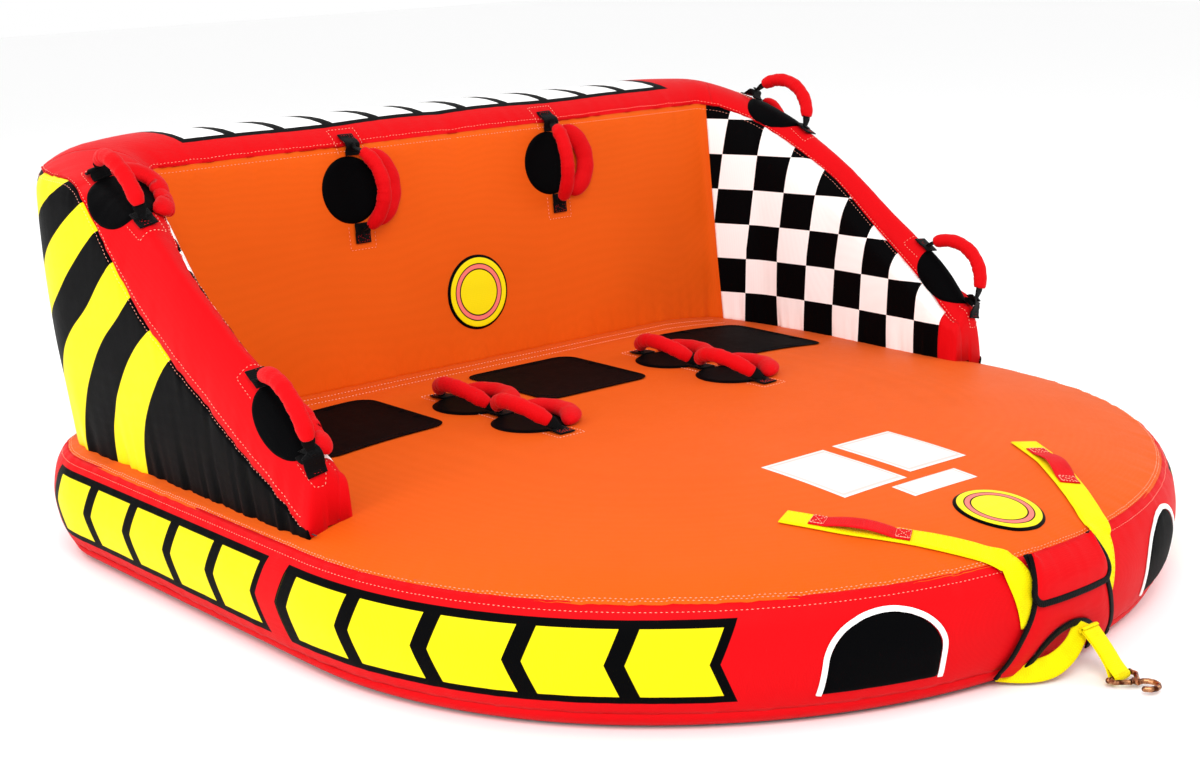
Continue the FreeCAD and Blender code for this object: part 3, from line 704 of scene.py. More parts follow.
def build_side_grid(shrink=0.0):
    heights = np.linspace(floor_seam_z, seam_z, 27)
    plans = [deck_outline(float(side_inset(z)) + shrink) for z in heights]
    points = np.array([np.column_stack([p, np.full(len(p), z)]) for p, z in zip(plans, heights)])
    up = path_length(points[:, 0])
    away_top = (up[-1] - up)[:, None]
    away_low = up[:, None]
    along = np.tile(plan_u, (len(heights), 1))
    if shrink == 0.0:
        push = seam_valley(away_top) + 0.10 * seam_valley(away_low)
        push = push + pucker(along, away_top, 0.0017, 0.030, 11) + pucker(along, away_low, 0.0008, 0.035, 12)
        push = push + billow(points, 0.0010, 0.42, 13)
        points = points + grid_normals(points) * push[..., None]
    maps = np.stack([along, np.tile(heights[:, None], (1, len(plan_u)))], -1)
    return points, maps


def build_top_grid(shrink=0.0):
    """Rings that shrink from the top seam onto a spine, and then onto one middle point."""
    centre = np.array([0.0, 0.10])
    rim = deck_outline(seam_inset + shrink)
    spine = np.column_stack([0.40 * rim[:, 0], centre[1] + 0.30 * (rim[:, 1] - centre[1])])
    share = np.linspace(0, 1, 56) ** 1.45
    plan = rim[None] * (1 - share[:, None, None]) + spine[None] * share[:, None, None]
    closing = [spine * (1 - s) + centre * s for s in (0.25, 0.5, 0.75, 1.0)]
    plan = np.concatenate([plan, np.array(closing)])
    share = np.concatenate([share, np.ones(len(closing))])
    away = edge_distance(plan)
    height = crown_height(np.maximum(away - shrink, seam_inset)) - shrink
    points = np.concatenate([plan, height[..., None]], -1)
    if shrink == 0.0:
        from_seam = away - seam_inset
        along = np.tile(plan_u, (len(share), 1))
        push = seam_valley(from_seam) + pucker(along, from_seam, 0.0017, 0.034, 11)
        fade = np.clip(1.0 - share[:, None] * 0.7, 0, 1)
        push = push + billow(points, 0.0012, 0.5, 14) * fade
        points = points + grid_normals(points) * push[..., None]
    return points


def build_bottom_grid(shrink=0.0):
    """Rings from one middle point out over the flat underside and up to the bottom seam."""
    turned_up = [(0.0, 0.060), (0.004, 0.044), (0.014, 0.030), (floor_seam_z, 0.022)]
    rings = [np.column_stack([deck_outline(inset + shrink), np.full(len(plan_u), z + shrink)])
             for z, inset in turned_up]
    flat = rings[0][:, :2]
    inner = [np.column_stack([flat * (1 - s) + 0.42 * flat * s, np.full(len(plan_u), shrink)])
             for s in (1.0, 0.75, 0.5, 0.25)]
    point = np.zeros_like(rings[0])
    point[:, 2] = shrink
    return np.array([point] + inner + rings)


side_points, side_maps = build_side_grid()
top_points = build_top_grid()
bottom_points = build_bottom_grid()
sheet("deck_top_cover", top_points, "orange", "deck_top_panel")
deck_side = sheet("deck_side_cover", side_points, "side", "deck_side_band", maps=side_maps)
sheet("deck_bottom_cover", bottom_points, "under", "deck_bottom_panel")


# ---- laying things on the covers ----------------------------------------------------
def surface_of(*grids):
    """Search tree over several grids of points, for laying things on them."""
    verts = []
    faces = []
    for points in grids:
        faces += (grid_faces(*points.shape[:2]) + len(verts)).tolist()
        verts += points.reshape(-1, 3).tolist()
    return BVHTree.FromPolygons(verts, faces)


def land(tree, start, direction):
    """Where a point lands when it moves along a direction, and the surface's normal there."""
    direction = Vector(direction).normalized()
    aside = direction.orthogonal().normalized() * 0.0002
    spot, normal, _, _ = tree.find_nearest(Vector(start))
    nearest = 9.0
    for nudge in (Vector(), aside, -aside):      # a ray can slip through where faces meet
        hit, facing, _, gap = tree.ray_cast(Vector(start) + nudge, direction)
        if hit is not None and gap < nearest - 0.02:
            spot, normal, nearest = hit, facing, gap
    if normal.dot(direction) > 0:
        normal = -normal
    return np.array(spot), np.array(normal)


def lay(tree, points, direction, lift):
    """A grid of points moved along a direction onto a surface, and raised by lift."""
    out = np.zeros_like(points)
    normals = np.zeros_like(points)
    lifts = np.broadcast_to(np.asarray(lift, float), points.shape[:-1])
    for place in np.ndindex(*points.shape[:-1]):
        spot, normal = land(tree, points[place], direction)
        out[place] = spot + normal * lifts[place]
        normals[place] = normal
    return out, normals


deck_tree = surface_of(side_points, top_points, bottom_points)

# ---- backrest and wings -------------------------------------------------------------
top_y = 0.760                                    # the middle of the top band over the backrest
front_seam_y = 0.620                             # where the riders' seam turns along the backrest
edge_y = (-0.066, 0.0, 0.100, 0.200, 0.300, 0.400, 0.500, 0.560, front_seam_y)
inner_seam = smooth_curve(edge_y, (0.300, 0.342, 0.410, 0.480, 0.557, 0.630, 0.690, 0.714, back_seam_z))
crest_line = smooth_curve(edge_y + (0.700, top_y),
                          (0.335, 0.394, 0.462, 0.527, 0.594, 0.657, 0.705, 0.726, 0.744, 0.763, top_z))
outer_seam = smooth_curve(edge_y + (top_y,),
                          (0.229, 0.268, 0.324, 0.386, 0.446, 0.519, 0.625, 0.690, 0.724, 0.724))
taper_z = (0.150, 0.225, 0.320, 0.420, 0.560, 0.680, 0.730)
side_taper = smooth_curve(taper_z, (0.036, 0.024, 0.012, 0.005, 0.0, 0.0, 0.011))
rear_taper = smooth_curve(taper_z, (0.059, 0.049, 0.034, 0.018, 0.004, 0.0, 0.010))
tip_y = wing_tip_y - 0.009                       # the inflated tip swells forwards
tip_round = 0.015
tip_rows = 9
seam_shift = 0.016                               # the checked panel rolls over towards the crest
foot_sink = 0.006                                # the bolster's foot, just inside the deck's skin
foot_z = 0.23                                    # height at which the foot's plan is taken
edge_plan_z = 0.6                                # height at which the edges' plan is taken
first_bend_y = 0.293                             # end of the outside's first stretch
corner_lead = 0.10                               # straight stretch just before the rear corner
inner_rows, band_rows, outer_rows = 44, 18, 44
band_end = inner_rows + band_rows
stage_columns = (44, 30, 30, 16, 76)


def stations():
    """Along the right-hand half of the backrest's U: (stage, share) pairs from the tip back."""
    rows = [(stage, step / count) for stage, count in enumerate(stage_columns) for step in range(count)]
    return rows + [(4, 1.0)]


def inner_plan(stage, share, z):
    """Plan point of the riders' side of the bolster."""
    wing_x = 0.7275 + 0.085 * z
    back = back_y + lean * (z - lean_foot)
    knots = ((wing_x, tip_y), (wing_x, back - 0.30), (back_half + 0.045, back - 0.118),
             (back_half - 0.006, back - 0.004), (0.60, back), (0.0, back))
    a = np.array(knots[stage])
    b = np.array(knots[stage + 1])
    return a + (b - a) * share


def outer_plan_at(stage, share, z):
    """Plan point of the bolster's outside."""
    side = float(side_taper(z))
    x = wing_outer_x - side
    y = rear_y - float(rear_taper(z))
    radius = wing_corner - side
    corner_start = y - radius - corner_lead

    def corner(angle):
        return np.array([x - radius + radius * math.cos(angle), y - radius + radius * math.sin(angle)])

    if stage == 0:
        return np.array([x, tip_y + (first_bend_y - tip_y) * share])
    if stage == 1:
        return np.array([x, first_bend_y + (corner_start - first_bend_y) * share])
    if stage == 2:
        at = share * (corner_lead + math.pi / 4 * radius)
        if at < corner_lead:
            return np.array([x, corner_start + at])
        return corner((at - corner_lead) / radius)
    if stage == 3:
        return corner(math.pi / 4 * (1 + share))
    return np.array([(x - radius) * (1 - share), y])


def bolster_column(stage, share, foot_in, foot_out):
    """Points from the inner foot over the crest to the outer foot, at one station."""
    inner_y = float(inner_plan(stage, share, edge_plan_z)[1])
    outer_y = float(outer_plan_at(stage, share, edge_plan_z)[1])
    at_back = np.clip((stage - 1 + share) / 2.4, 0, 1) if stage > 0 else 0.0
    z_in = float(inner_seam(min(inner_y, front_seam_y) if stage < 3 else front_seam_y))
    z_in += 0.010 * (1 - at_back)
    z_out = float(outer_seam(outer_y))
    z_top = float(crest_line(min(0.5 * (inner_y + outer_y), top_y)))
    top_share = 0.52 - 0.03 * at_back            # where the crest lies across the band
    round_in = 1.8 + 0.9 * at_back
    round_out = 2.5 - 0.6 * at_back
    seam_in = inner_plan(stage, share, z_in)
    seam_out = outer_plan_at(stage, share, z_out)
    lean_out = unit(seam_out - seam_in) * seam_shift * (1 - at_back)
    column = []
    for k in range(inner_rows + 1):
        z = foot_in + (z_in - foot_in) * k / inner_rows
        roll = max(0.0, (k / inner_rows - 0.78) / 0.22) ** 2.2
        column.append((*(inner_plan(stage, share, z) + lean_out * roll), z))
    seam_in = seam_in + lean_out
    for k in range(1, band_rows):
        q = 0.5 - 0.5 * math.cos(math.pi * k / band_rows)
        if q < top_share:
            z = z_in + (z_top - z_in) * (1 - (1 - q / top_share) ** round_in)
        else:
            z = z_out + (z_top - z_out) * (1 - ((q - top_share) / (1 - top_share)) ** round_out)
        column.append((*(seam_in + (seam_out - seam_in) * q), z))
    for k in range(outer_rows + 1):
        z = z_out + (foot_out - z_out) * k / outer_rows
        column.append((*outer_plan_at(stage, share, z), z))
    return column


def rounded_tip(tip):
    """Rows that close the wing's tip in front of its first column."""
    middle = 0.5 * (tip[:inner_rows + 1].mean(axis=0)[0] + tip[-outer_rows:].mean(axis=0)[0])
    on_inside = np.arange(len(tip)) < inner_rows + band_rows // 2
    foot = np.where(on_inside, tip[0, 2], tip[-1, 2])
    front = []
    for k in range(tip_rows):
        angle = math.pi / 2 * (1 - k / tip_rows)
        share = math.cos(angle) ** 0.30
        row = tip.copy()
        row[:, 0] = middle + (row[:, 0] - middle) * (0.80 + 0.20 * share)
        row[:, 1] = tip_y + tip_round * (1 - math.sin(angle))
        row[:, 2] = foot + (row[:, 2] - foot) * share
        front.append(row)
    return np.array(front).transpose(1, 0, 2)


def bolster_half():
    """Grid of the right-hand half: rows from the inner foot over the crest to the outer foot."""
    kept_columns = 30                            # at the tip, left as they are by the smoothing
    places = stations()
    feet = []
    for plan in (inner_plan, outer_plan_at):
        xy = np.array([plan(stage, share, foot_z) for stage, share in places])
        away = np.maximum(edge_distance(xy) * (np.abs(xy[:, 0]) < half_width), seam_inset)
        feet.append(crown_height(away) - foot_sink)
    columns = [bolster_column(stage, share, float(foot_in), float(foot_out))
               for (stage, share), foot_in, foot_out in zip(places, *feet)]
    points = np.array(columns).transpose(1, 0, 2)
    for _ in range(10):
        soft = points.copy()
        soft[:, 1:-1] = 0.5 * points[:, 1:-1] + 0.25 * (points[:, :-2] + points[:, 2:])
        soft[:, :kept_columns] = points[:, :kept_columns]
        points = soft
    front = rounded_tip(points[:, 0])
    body = points.copy()
    body[..., 1] += tip_round * np.clip(1 - (points[..., 1] - tip_y) / 0.10, 0, 1)
    return np.concatenate([front, body], axis=1)


right = bolster_half()
bolster_sign = 1.0 if grid_normals(right)[-5, 80, 0] > 0 else -1.0


def dressed(points):
    """The bolster's grid with its crowned panels, seam valleys and gathers."""
    columns = range(points.shape[1])
    rows = np.array([path_length(points[:, k]) for k in columns]).T
    inner_run, outer_run = (np.tile(path_length(points[row])[None], (points.shape[0], 1))
                            for row in (inner_rows, band_end))
    inner_seam_at = rows[inner_rows]
    outer_seam_at = rows[band_end]
    push = np.zeros(points.shape[:2])
    for seam_at, run, seed in ((inner_seam_at, inner_run, 21), (outer_seam_at, outer_run, 22)):
        away = rows - seam_at[None]
        push += seam_valley(np.abs(away)) + pucker(run, away, 0.0019, 0.030, seed)
    deck_gap = np.clip(points[..., 2] - 0.235, 0, 1)
    push += pucker(inner_run, deck_gap, 0.0030, 0.045, 23)
    span_in = np.clip(rows / inner_seam_at[None], 0, 1)
    band_width = np.maximum(outer_seam_at - inner_seam_at, 1e-6)
    span_band = np.clip((rows - inner_seam_at[None]) / band_width[None], 0, 1)
    push += 0.006 * np.sin(math.pi * span_in) ** 0.8
    push += 0.003 * np.sin(math.pi * span_band)
    push += billow(points, 0.0016, 0.34, 24)
    fade = np.clip((points[..., 1] - tip_y) / 0.05, 0.15, 1)
    return points + grid_normals(points) * bolster_sign * (push * fade)[..., None]


def mirror_grid(points):
    return points * np.array([-1.0, 1.0, 1.0])


def both_halves(grid):
    """A grid of the right-hand half joined to its mirror image across the middle."""
    return np.concatenate([grid, mirror_grid(grid)[:, ::-1][:, 1:]], axis=1)


def column_at(row, axis, place, allowed):
    """The column of a row of the bolster that lies nearest to a place, among the allowed ones."""
    line = right[row]
    return int(np.argmin(np.abs(line[:, axis] - place) + np.where(allowed(line), 0, 9)))


right_dressed = dressed(right)
last = right.shape[1]
last_row = right.shape[0] - 1
front_split = column_at(inner_rows // 2, 0, back_half, lambda line: line[:, 1] >= 0.5)
rear_split = column_at(-10, 0, 0.56, lambda line: line[:, 1] > -9)
band_split = column_at(inner_rows, 1, 0.59, lambda line: line[:, 0] >= back_half - 0.03)
tip_split = tip_rows + 4                         # the edge band turns round the wing's tip
outer_seam_run = path_length(right[band_end][:, :2]) + float(right[band_end, 0, 1])


def bolster_sheet(name, rows, columns, paint, node, side=0):
    """One sewn panel of the bolster: on the left, on the right, or across both with no side."""
    place = (slice(rows[0], rows[1] + 1), slice(*columns))
    piece = right_dressed[place]
    base = right[place]
    run = base[..., 1]
    if rows[0] > inner_rows:
        run = np.tile(outer_seam_run[place[1]][None], (len(base), 1))
    maps = np.stack([run, base[..., 2]], -1)
    flip = bolster_sign < 0
    if side == 0:
        piece = both_halves(piece)
        maps = np.concatenate([maps, maps[:, ::-1][:, 1:]], axis=1)
    elif side < 0:
        piece = mirror_grid(piece)
        flip = not flip
    sheet(name, piece, paint, node, maps=maps, flip=flip)


inner_panel = (0, inner_rows)
edge_band = (inner_rows, band_end)
outer_panel = (band_end, last_row)
for word, side in (("left_wing_", 1), ("right_wing_", -1)):
    bolster_sheet(word + "inner_cover", inner_panel, (tip_split, front_split + 1), "checker",
                  word + "inner_panel", side)
    bolster_sheet(word + "tip_cover", inner_panel, (0, tip_split + 1), "red", word + "edge_band", side)
    bolster_sheet(word + "edge_cover", edge_band, (0, band_split + 1), "red", word + "edge_band", side)
    bolster_sheet(word + "outer_cover", outer_panel, (0, rear_split + 1), "hazard",
                  word + "outer_panel", side)
for word, rows, split, paint, node in (
        ("front", inner_panel, front_split, "orange", "backrest_front_panel"),
        ("top", edge_band, band_split, "top", "backrest_top_band"),
        ("rear", outer_panel, rear_split, "black", "backrest_rear_panel")):
    bolster_sheet("backrest_" + word + "_cover", rows, (split, last), paint, node)
bolster_tree = surface_of(right_dressed, mirror_grid(right_dressed))


# ---- bladders -----------------------------------------------------------------------
def build_bladders():
    """The two vinyl bladders: the covers' shapes, drawn in all round."""
    inset = 0.014
    floor_gap = 0.006                            # the upper bladder stays over the deck's skin
    side_in, _ = build_side_grid(inset)
    top_in = build_top_grid(inset)
    bottom_in = build_bottom_grid(inset)
    bottom_in[-1] = side_in[0]
    top_in[0] = side_in[-1]
    joined("deck_bladder_skin", [sheet_mesh("skin", grid) for grid in (side_in, top_in, bottom_in)],
           "vinyl", "deck_bladder")
    half = right - grid_normals(right) * bolster_sign * inset
    half[..., 2] = np.maximum(half[..., 2], deck_height(half[..., :2]) + floor_gap)
    half[:, -1, 0] = 0.0
    whole = both_halves(half)
    ring = np.concatenate([whole, whole[:1]], axis=0)
    mesh = sheet_mesh("bolster", ring, flip=bolster_sign < 0)
    new_object("backrest_bladder_skin", mesh, "vinyl", "backrest_bladder")


build_bladders()


# ---- pads, labels, badges -----------------------------------------------------------
def inflate(mesh, pinned, pressure, cap, frames=20):
    """Blows up a closed cloth shape whose pinned points stay put, then keeps the result."""
    obj = bpy.data.objects.new("inflating", mesh)
    scene.collection.objects.link(obj)
    group = obj.vertex_groups.new(name="sewn")
    group.add([int(i) for i in pinned], 1.0, "REPLACE")
    cloth_modifier = obj.modifiers.new("cloth", "CLOTH")
    settings = cloth_modifier.settings
    settings.quality = 5
    settings.mass = 0.15
    settings.tension_stiffness = 12.0
    settings.compression_stiffness = 12.0
    settings.bending_stiffness = 0.4
    settings.use_pressure = True
    settings.uniform_pressure_force = pressure
    settings.vertex_group_mass = "sewn"
    settings.shrink_min = -0.03
    settings.effector_weights.gravity = 0.0
    cloth_modifier.collision_settings.use_collision = False
    start = np.array([v.co for v in mesh.vertices])
    for number in range(1, frames + 1):
        scene.frame_set(number)
    result = obj.evaluated_get(bpy.context.evaluated_depsgraph_get())
    end = np.array([v.co for v in result.data.vertices])
    move = end - start
    size = np.linalg.norm(move, axis=1, keepdims=True)
    move = move * np.minimum(1.0, cap / np.maximum(size, 1e-9))
    scene.frame_set(1)
    bpy.data.objects.remove(obj)
    return start + move


def pad_grid(width, length, radius, count):
    """Rounded rectangle as rings from its middle out, flat, centred on zero."""
    corners = []
    for sx, sy, first in ((1, 1, 0), (-1, 1, 90), (-1, -1, 180), (1, -1, 270)):
        for step in range(9):
            angle = math.radians(first + step * 90 / 8)
            corners.append((sx * (width / 2 - radius) + radius * math.cos(angle),
                            sy * (length / 2 - radius) + radius * math.sin(angle)))
    corners.append(corners[0])
    rim = resample(corners, 129)
    share = np.linspace(0, 1, count)
    return rim[None] * share[:, None, None]


def seat_pad(word):
    """Foam pad in black cloth, quilted by its sewn border and blown up as cloth."""
    low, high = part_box(word + "_seat_pad")
    centre = 0.5 * (low + high)
    flat = pad_grid(high.x - low.x + 0.010, high.y - low.y + 0.006, 0.034, 26)
    thick = np.full(flat.shape[:2], 0.0030)
    thick[-1] = 0.0
    thick[-2] = 0.0012
    thick[-3] = 0.0014
    upper = np.concatenate([flat, thick[..., None]], -1)
    lower = np.concatenate([flat, -thick[..., None] * 0.5], -1)[:-1][::-1]
    shell = np.concatenate([upper, lower], axis=0)
    mesh = sheet_mesh(word + "_pad", shell)
    where = np.array([v.co for v in mesh.vertices])
    rim = flat[-1]
    gap = np.min(np.linalg.norm(where[:, None, :2] - rim[None], axis=-1), axis=1)
    pinned = np.nonzero((gap < 0.009) | (where[:, 2] < 0))[0]
    where = inflate(mesh, pinned, 5.0, 0.009)
    plan = where[:, :2] + np.array([centre.x, centre.y])
    out = np.column_stack([plan, where[:, 2] + deck_height(plan) + 0.0022])
    fine = bpy.data.meshes.new(word + "_seat_cushion")
    fine.from_pydata(out.tolist(), [], [tuple(p.vertices) for p in mesh.polygons])
    obj = new_object(word + "_seat_cushion", fine, "black", word + "_seat_pad")
    smooth = obj.modifiers.new("smooth", "SUBSURF")
    smooth.levels = 1
    smooth.render_levels = 1
    hem = 0.012                                  # from the pad's edge in to its row of thread
    ring = rim * np.array([1 - hem / (high.x - low.x) * 2, 1 - hem / (high.y - low.y) * 2])
    ring = ring + np.array([centre.x, centre.y])
    ring = np.column_stack([ring, deck_height(ring) + 0.0042])
    pad_threads.append((ring, np.tile((0.0, 0.0, 1.0), (len(ring), 1))))


seam_threads = []
pad_threads = []
for pad_word in ("left", "middle", "right"):
    seat_pad(pad_word)


def polar_grid(rim, rings, profile):
    """Disc from its middle to its rim; profile gives the height at each share of the way."""
    share = np.linspace(0, 1, rings)
    flat = rim[None] * share[:, None, None]
    height = np.tile(profile(share)[:, None], (1, len(rim)))
    maps = np.stack([np.tile(share[:, None], (1, len(rim))), np.zeros((rings, len(rim)))], -1)
    return flat, height, maps


def pillow(share):
    """A flat face that falls off quickly at its rim."""
    return np.clip((1 - share) / 0.08, 0, 1) ** 0.5


def circle_rim(radius_x, radius_y, count=97):
    angle = np.linspace(0, 2 * math.pi, count)
    return np.stack([radius_x * np.cos(angle), radius_y * np.sin(angle)], 1)


def sewn_disc(radius, place, tree, direction):
    """A raised round patch laid on a surface. place turns its plan into space."""
    flat, height, maps = polar_grid(circle_rim(radius, radius), 22, pillow)
    points, _ = lay(tree, place(flat), direction, 0.0006 + 0.0034 * height)
    if np.dot(np.cross(points[1, 0] - points[0, 0], points[1, 20] - points[1, 0]), direction) > 0:
        points = points[:, ::-1]
    return sheet_mesh("disc", points, maps)


def front_place(flat):
    """Plan of a piece seen from the front, as (x, z)."""
    ones = np.ones(flat.shape[:2])
    return np.stack([flat[..., 0], ahead * ones, flat[..., 1]], -1)


def build_badges():
    """The round badge on the nose and the one on the backrest."""
    def on_deck(flat):
        return np.concatenate([flat + np.array([0.006, -0.779]), np.ones(flat.shape[:2] + (1,))], -1)

    def on_back(flat):
        y = 0.30 * np.ones(flat.shape[:2])
        return np.stack([flat[..., 0] + 0.015, y, flat[..., 1] + 0.395], -1)

    badges = [sewn_disc(0.073, on_deck, deck_tree, DOWN), sewn_disc(0.077, on_back, bolster_tree, BACKWARDS)]
    joined("round_badge_patches", badges, "badge", "round_badges")


def build_labels():
    """Three printed labels, each flat with its edge pressed down."""
    meshes = []
    for x, y, width, length in ((-0.090, -0.512, 0.150, 0.188), (0.084, -0.502, 0.144, 0.176),
                                (0.008, -0.646, 0.156, 0.050)):
        s = np.linspace(-1, 1, 12)
        across, along = np.meshgrid(s, s)
        start = np.stack([x + across * width / 2, y + along * length / 2, np.ones(across.shape)], -1)
        edge = np.maximum(np.abs(across), np.abs(along))
        points, _ = lay(deck_tree, start, DOWN, np.where(edge > 0.99, 0.0004, 0.0016))
        meshes.append(sheet_mesh("label", points, np.stack([across, along], -1)))
    joined("blank_label_sheets", meshes, "label", "blank_labels")


build_badges()
build_labels()


# ---- handles ------------------------------------------------------------------------
handle_reach, handle_rise, axis_rise = 0.082, 0.060, 0.007
grip_radius = 0.0145
sleeve_end = 58                                  # degrees from the arch's top to the sleeve's end
guard_radius = 0.074
guard_rise = 0.0142                              # half the height of a knuckle guard
guard_half_width = 0.0205
wing_round = 0.060                               # radius that a wing's handle wraps round
arch_radius = (handle_reach ** 2 + handle_rise ** 2) / (2 * handle_rise)
arch_centre = axis_rise + handle_rise - arch_radius


def handle_frames():
    """Each handle's name, spot on the panel, direction along it, direction off it, and tilt."""
    out = []
    for joint in frame["joints"]:
        if not joint["name"].endswith("_flop"):
            continue
        name = joint["child"]
        axis = Vector(joint["axis"]).normalized()
        hinge = Vector(joint["pos_m"])
        tilt = -64.0 - joint["range_deg"][0]
        node = frame["nodes"][name + "_grip"]
        middle = Vector(np.array([v.co for v in node.data.vertices]).mean(axis=0)) - hinge
        middle -= axis * middle.dot(axis)
        normal = Quaternion(axis, math.radians(-tilt)) @ middle.normalized()
        out.append((name, np.array(hinge - normal * axis_rise), np.array(axis), np.array(normal), tilt))
    return out


def draper(name, spot, along, side, normal):
    """Makes the function that lays points of a handle's flat pattern on its panel."""
    tree = deck_tree if "deck" in name else bolster_tree
    wrap = wing_round if "wing" in name else 0.0

    def drape(x, y, lift):
        if wrap:
            turn_by = y / wrap
            out = normal * math.cos(turn_by) + side * math.sin(turn_by)
            start = spot - normal * wrap + out * (wrap + 0.05) + along * x
        else:
            out = normal
            start = spot + side * y + along * x + normal * 0.05
        ground, facing = land(tree, start, -out)
        if np.linalg.norm(ground - start) > 0.16:
            ground = spot + side * y + along * x
            facing = out
        return ground + facing * lift, facing

    return drape


def laid_path(drape, places):
    """Points and normals where a list of (x, y, lift) comes to lie."""
    points, normals = zip(*[drape(*place) for place in places])
    return np.array(points), np.array(normals)


def handle_disc(name, drape):
    """Round pad under a handle."""
    on_back = "backrest" in name
    radius = 0.066 if on_back else 0.072
    shift = 0.014 if on_back else 0.0
    flat, height, maps = polar_grid(circle_rim(radius, radius, 65), 16, pillow)
    points = np.zeros(flat.shape[:2] + (3,))
    for place in np.ndindex(*flat.shape[:2]):
        x, y = flat[place]
        points[place] = drape(x, y + shift, 0.0006 + 0.0032 * height[place])[0]
    return sheet_mesh(name + "_disc", points, maps)


def knuckle_guard(name, drape):
    """Half-ring cushion beside a handle, with shallow ripples."""
    count = 41
    reach = np.abs(np.linspace(-1, 1, count))
    swell = np.sqrt(np.clip(1 - reach ** 5, 0.05, 1))
    angle = np.radians(np.linspace(-68, 68, count))
    path, facing = laid_path(drape, [
        (guard_radius * math.sin(a), -guard_radius * math.cos(a), 0.0035 + 0.70 * guard_rise * s)
        for a, s in zip(angle, swell)])
    ripple = 1 + 0.035 * np.sin(np.linspace(0, 11 * math.pi, count)) * (1 - reach)
    across = np.cross(unit(np.gradient(path, axis=0)), facing)
    return tube_mesh(name + "_guard", path, across, guard_half_width * swell * ripple, 20,
                     guard_rise / guard_half_width)


def anchor_end(name, drape, end, spot, along, normal):
    """One sewn end of a handle: a tab that rises to the hinge line, and its stitching."""
    reach_out = np.linspace(0.066, 0.106, 21)
    path, facing = laid_path(drape, [(end * x, 0.0, 0.0046 if x < 0.086 else 0.0030) for x in reach_out])
    held = np.exp(-np.abs((reach_out - 0.085) / 0.0095) ** 3)[:, None]
    level = spot + along * (end * reach_out)[:, None] + normal * (axis_rise - 0.0032)
    gap = np.maximum(np.sum((level - path) * normal, axis=1), 0.0)[:, None]
    path = path + normal * gap * held
    across = unit(np.cross(unit(np.gradient(path, axis=0)), facing))
    patch = resample([(0.070, 0.030), (0.118, 0.030), (0.118, -0.030), (0.070, -0.030)], 60)
    seam_threads.append(laid_path(drape, [(end * x, y, 0.0006) for x, y in patch]))
    box = resample([(0.090, 0.013), (0.103, 0.013), (0.103, -0.013), (0.090, -0.013),
                    (0.090, 0.013), (0.103, -0.013)], 40)
    dark_threads.append(laid_path(drape, [(end * x, y, 0.0046) for x, y in box]))
    return band_mesh(name + "_tab", path, across, facing, 0.036, 0.0028)


def foam_sleeve(name, spot, across, path):
    """Foam grip round the arch: drawn in at its ends and creased, most of all on its inside."""
    count = len(path)
    share = np.linspace(0, 1, count)
    ends = np.clip(np.minimum(share, 1 - share) / 0.10, 0, 1)
    width = grip_radius * (0.70 + 0.30 * np.sqrt(ends))
    width = width * (1 + 0.030 * np.sin(share * 27 + spot[0] * 9)
                     + 0.018 * np.sin(share * 61 + spot[1] * 7))
    round_angle = np.linspace(0, 2 * math.pi, 25)
    draw = np.random.RandomState(int(abs(spot[1]) * 1000) + 5)
    folds = np.zeros((count, 25))
    for place in np.linspace(0.16, 0.84, 9):
        middle = place + draw.uniform(-0.02, 0.02) + 0.010 * np.sin(round_angle + draw.uniform(0, 6))
        depth = draw.uniform(0.05, 0.11)
        folds += depth * np.exp(-((share[:, None] - middle[None]) / 0.009) ** 2)
    inner_side = 0.55 - 0.45 * np.sin(round_angle)
    width = width[:, None] * (1 - folds * inner_side[None])
    grip = tube_mesh(name + "_sleeve", path, np.tile(across, (count, 1)), width, 24, 0.97)
    new_object(name + "_sleeve", grip, "foam_red", name + "_grip", name)


def handle_strap(name, across, path):
    """Webbing of a handle, narrower at its two ends."""
    count = 64
    path = resample(path, count)
    run = np.abs(np.linspace(-1, 1, count))
    wide = 0.024 - 0.015 * np.clip((run - 0.78) / 0.18, 0, 1)
    across = np.tile(across, (count, 1))
    upward = unit(np.cross(across, unit(np.gradient(path, axis=0))))
    band = band_mesh(name + "_strap", path, across, upward, wide, 0.0032)
    new_object(name + "_strap", band, "black_web", name + "_webbing", name)


def build_handle(name, spot, along, normal, tilt):
    """All of one handle: the parts sewn to the cover, and the two that swing."""
    side = np.cross(normal, along)
    drape = draper(name, spot, along, side, normal)
    discs.append(handle_disc(name, drape))
    guards.append(knuckle_guard(name, drape))
    for end in (-1, 1):
        tabs.append(anchor_end(name, drape, end, spot, along, normal))
    swing = np.array(Matrix.Rotation(math.radians(tilt), 3, Vector(along)))

    def turned(x, z):
        """Point of the upright arch, swung about the hinge."""
        return spot + normal * axis_rise + swing @ (along * x + normal * (z - axis_rise))

    def arch_points(degrees, count):
        return [turned(arch_radius * math.sin(a), arch_centre + arch_radius * math.cos(a))
                for a in np.radians(np.linspace(-degrees, degrees, count))]

    foam_sleeve(name, spot, swing @ side, np.array(arch_points(sleeve_end, 110)))
    foot = math.degrees(math.asin(handle_reach / arch_radius))
    tail = handle_reach + 0.010
    handle_strap(name, swing @ side,
                 [turned(-tail, axis_rise)] + arch_points(foot, 61) + [turned(tail, axis_rise)])


discs = []
guards = []
tabs = []
dark_threads = []
for handle_row in handle_frames():
    build_handle(*handle_row)
joined("handle_disc_pads", discs, "black", "handle_base_discs")
joined("knuckle_guard_cushions", guards, "foam_red", "knuckle_guards")
joined("handle_anchor_ends", tabs, "black_web", "handle_anchor_tabs")


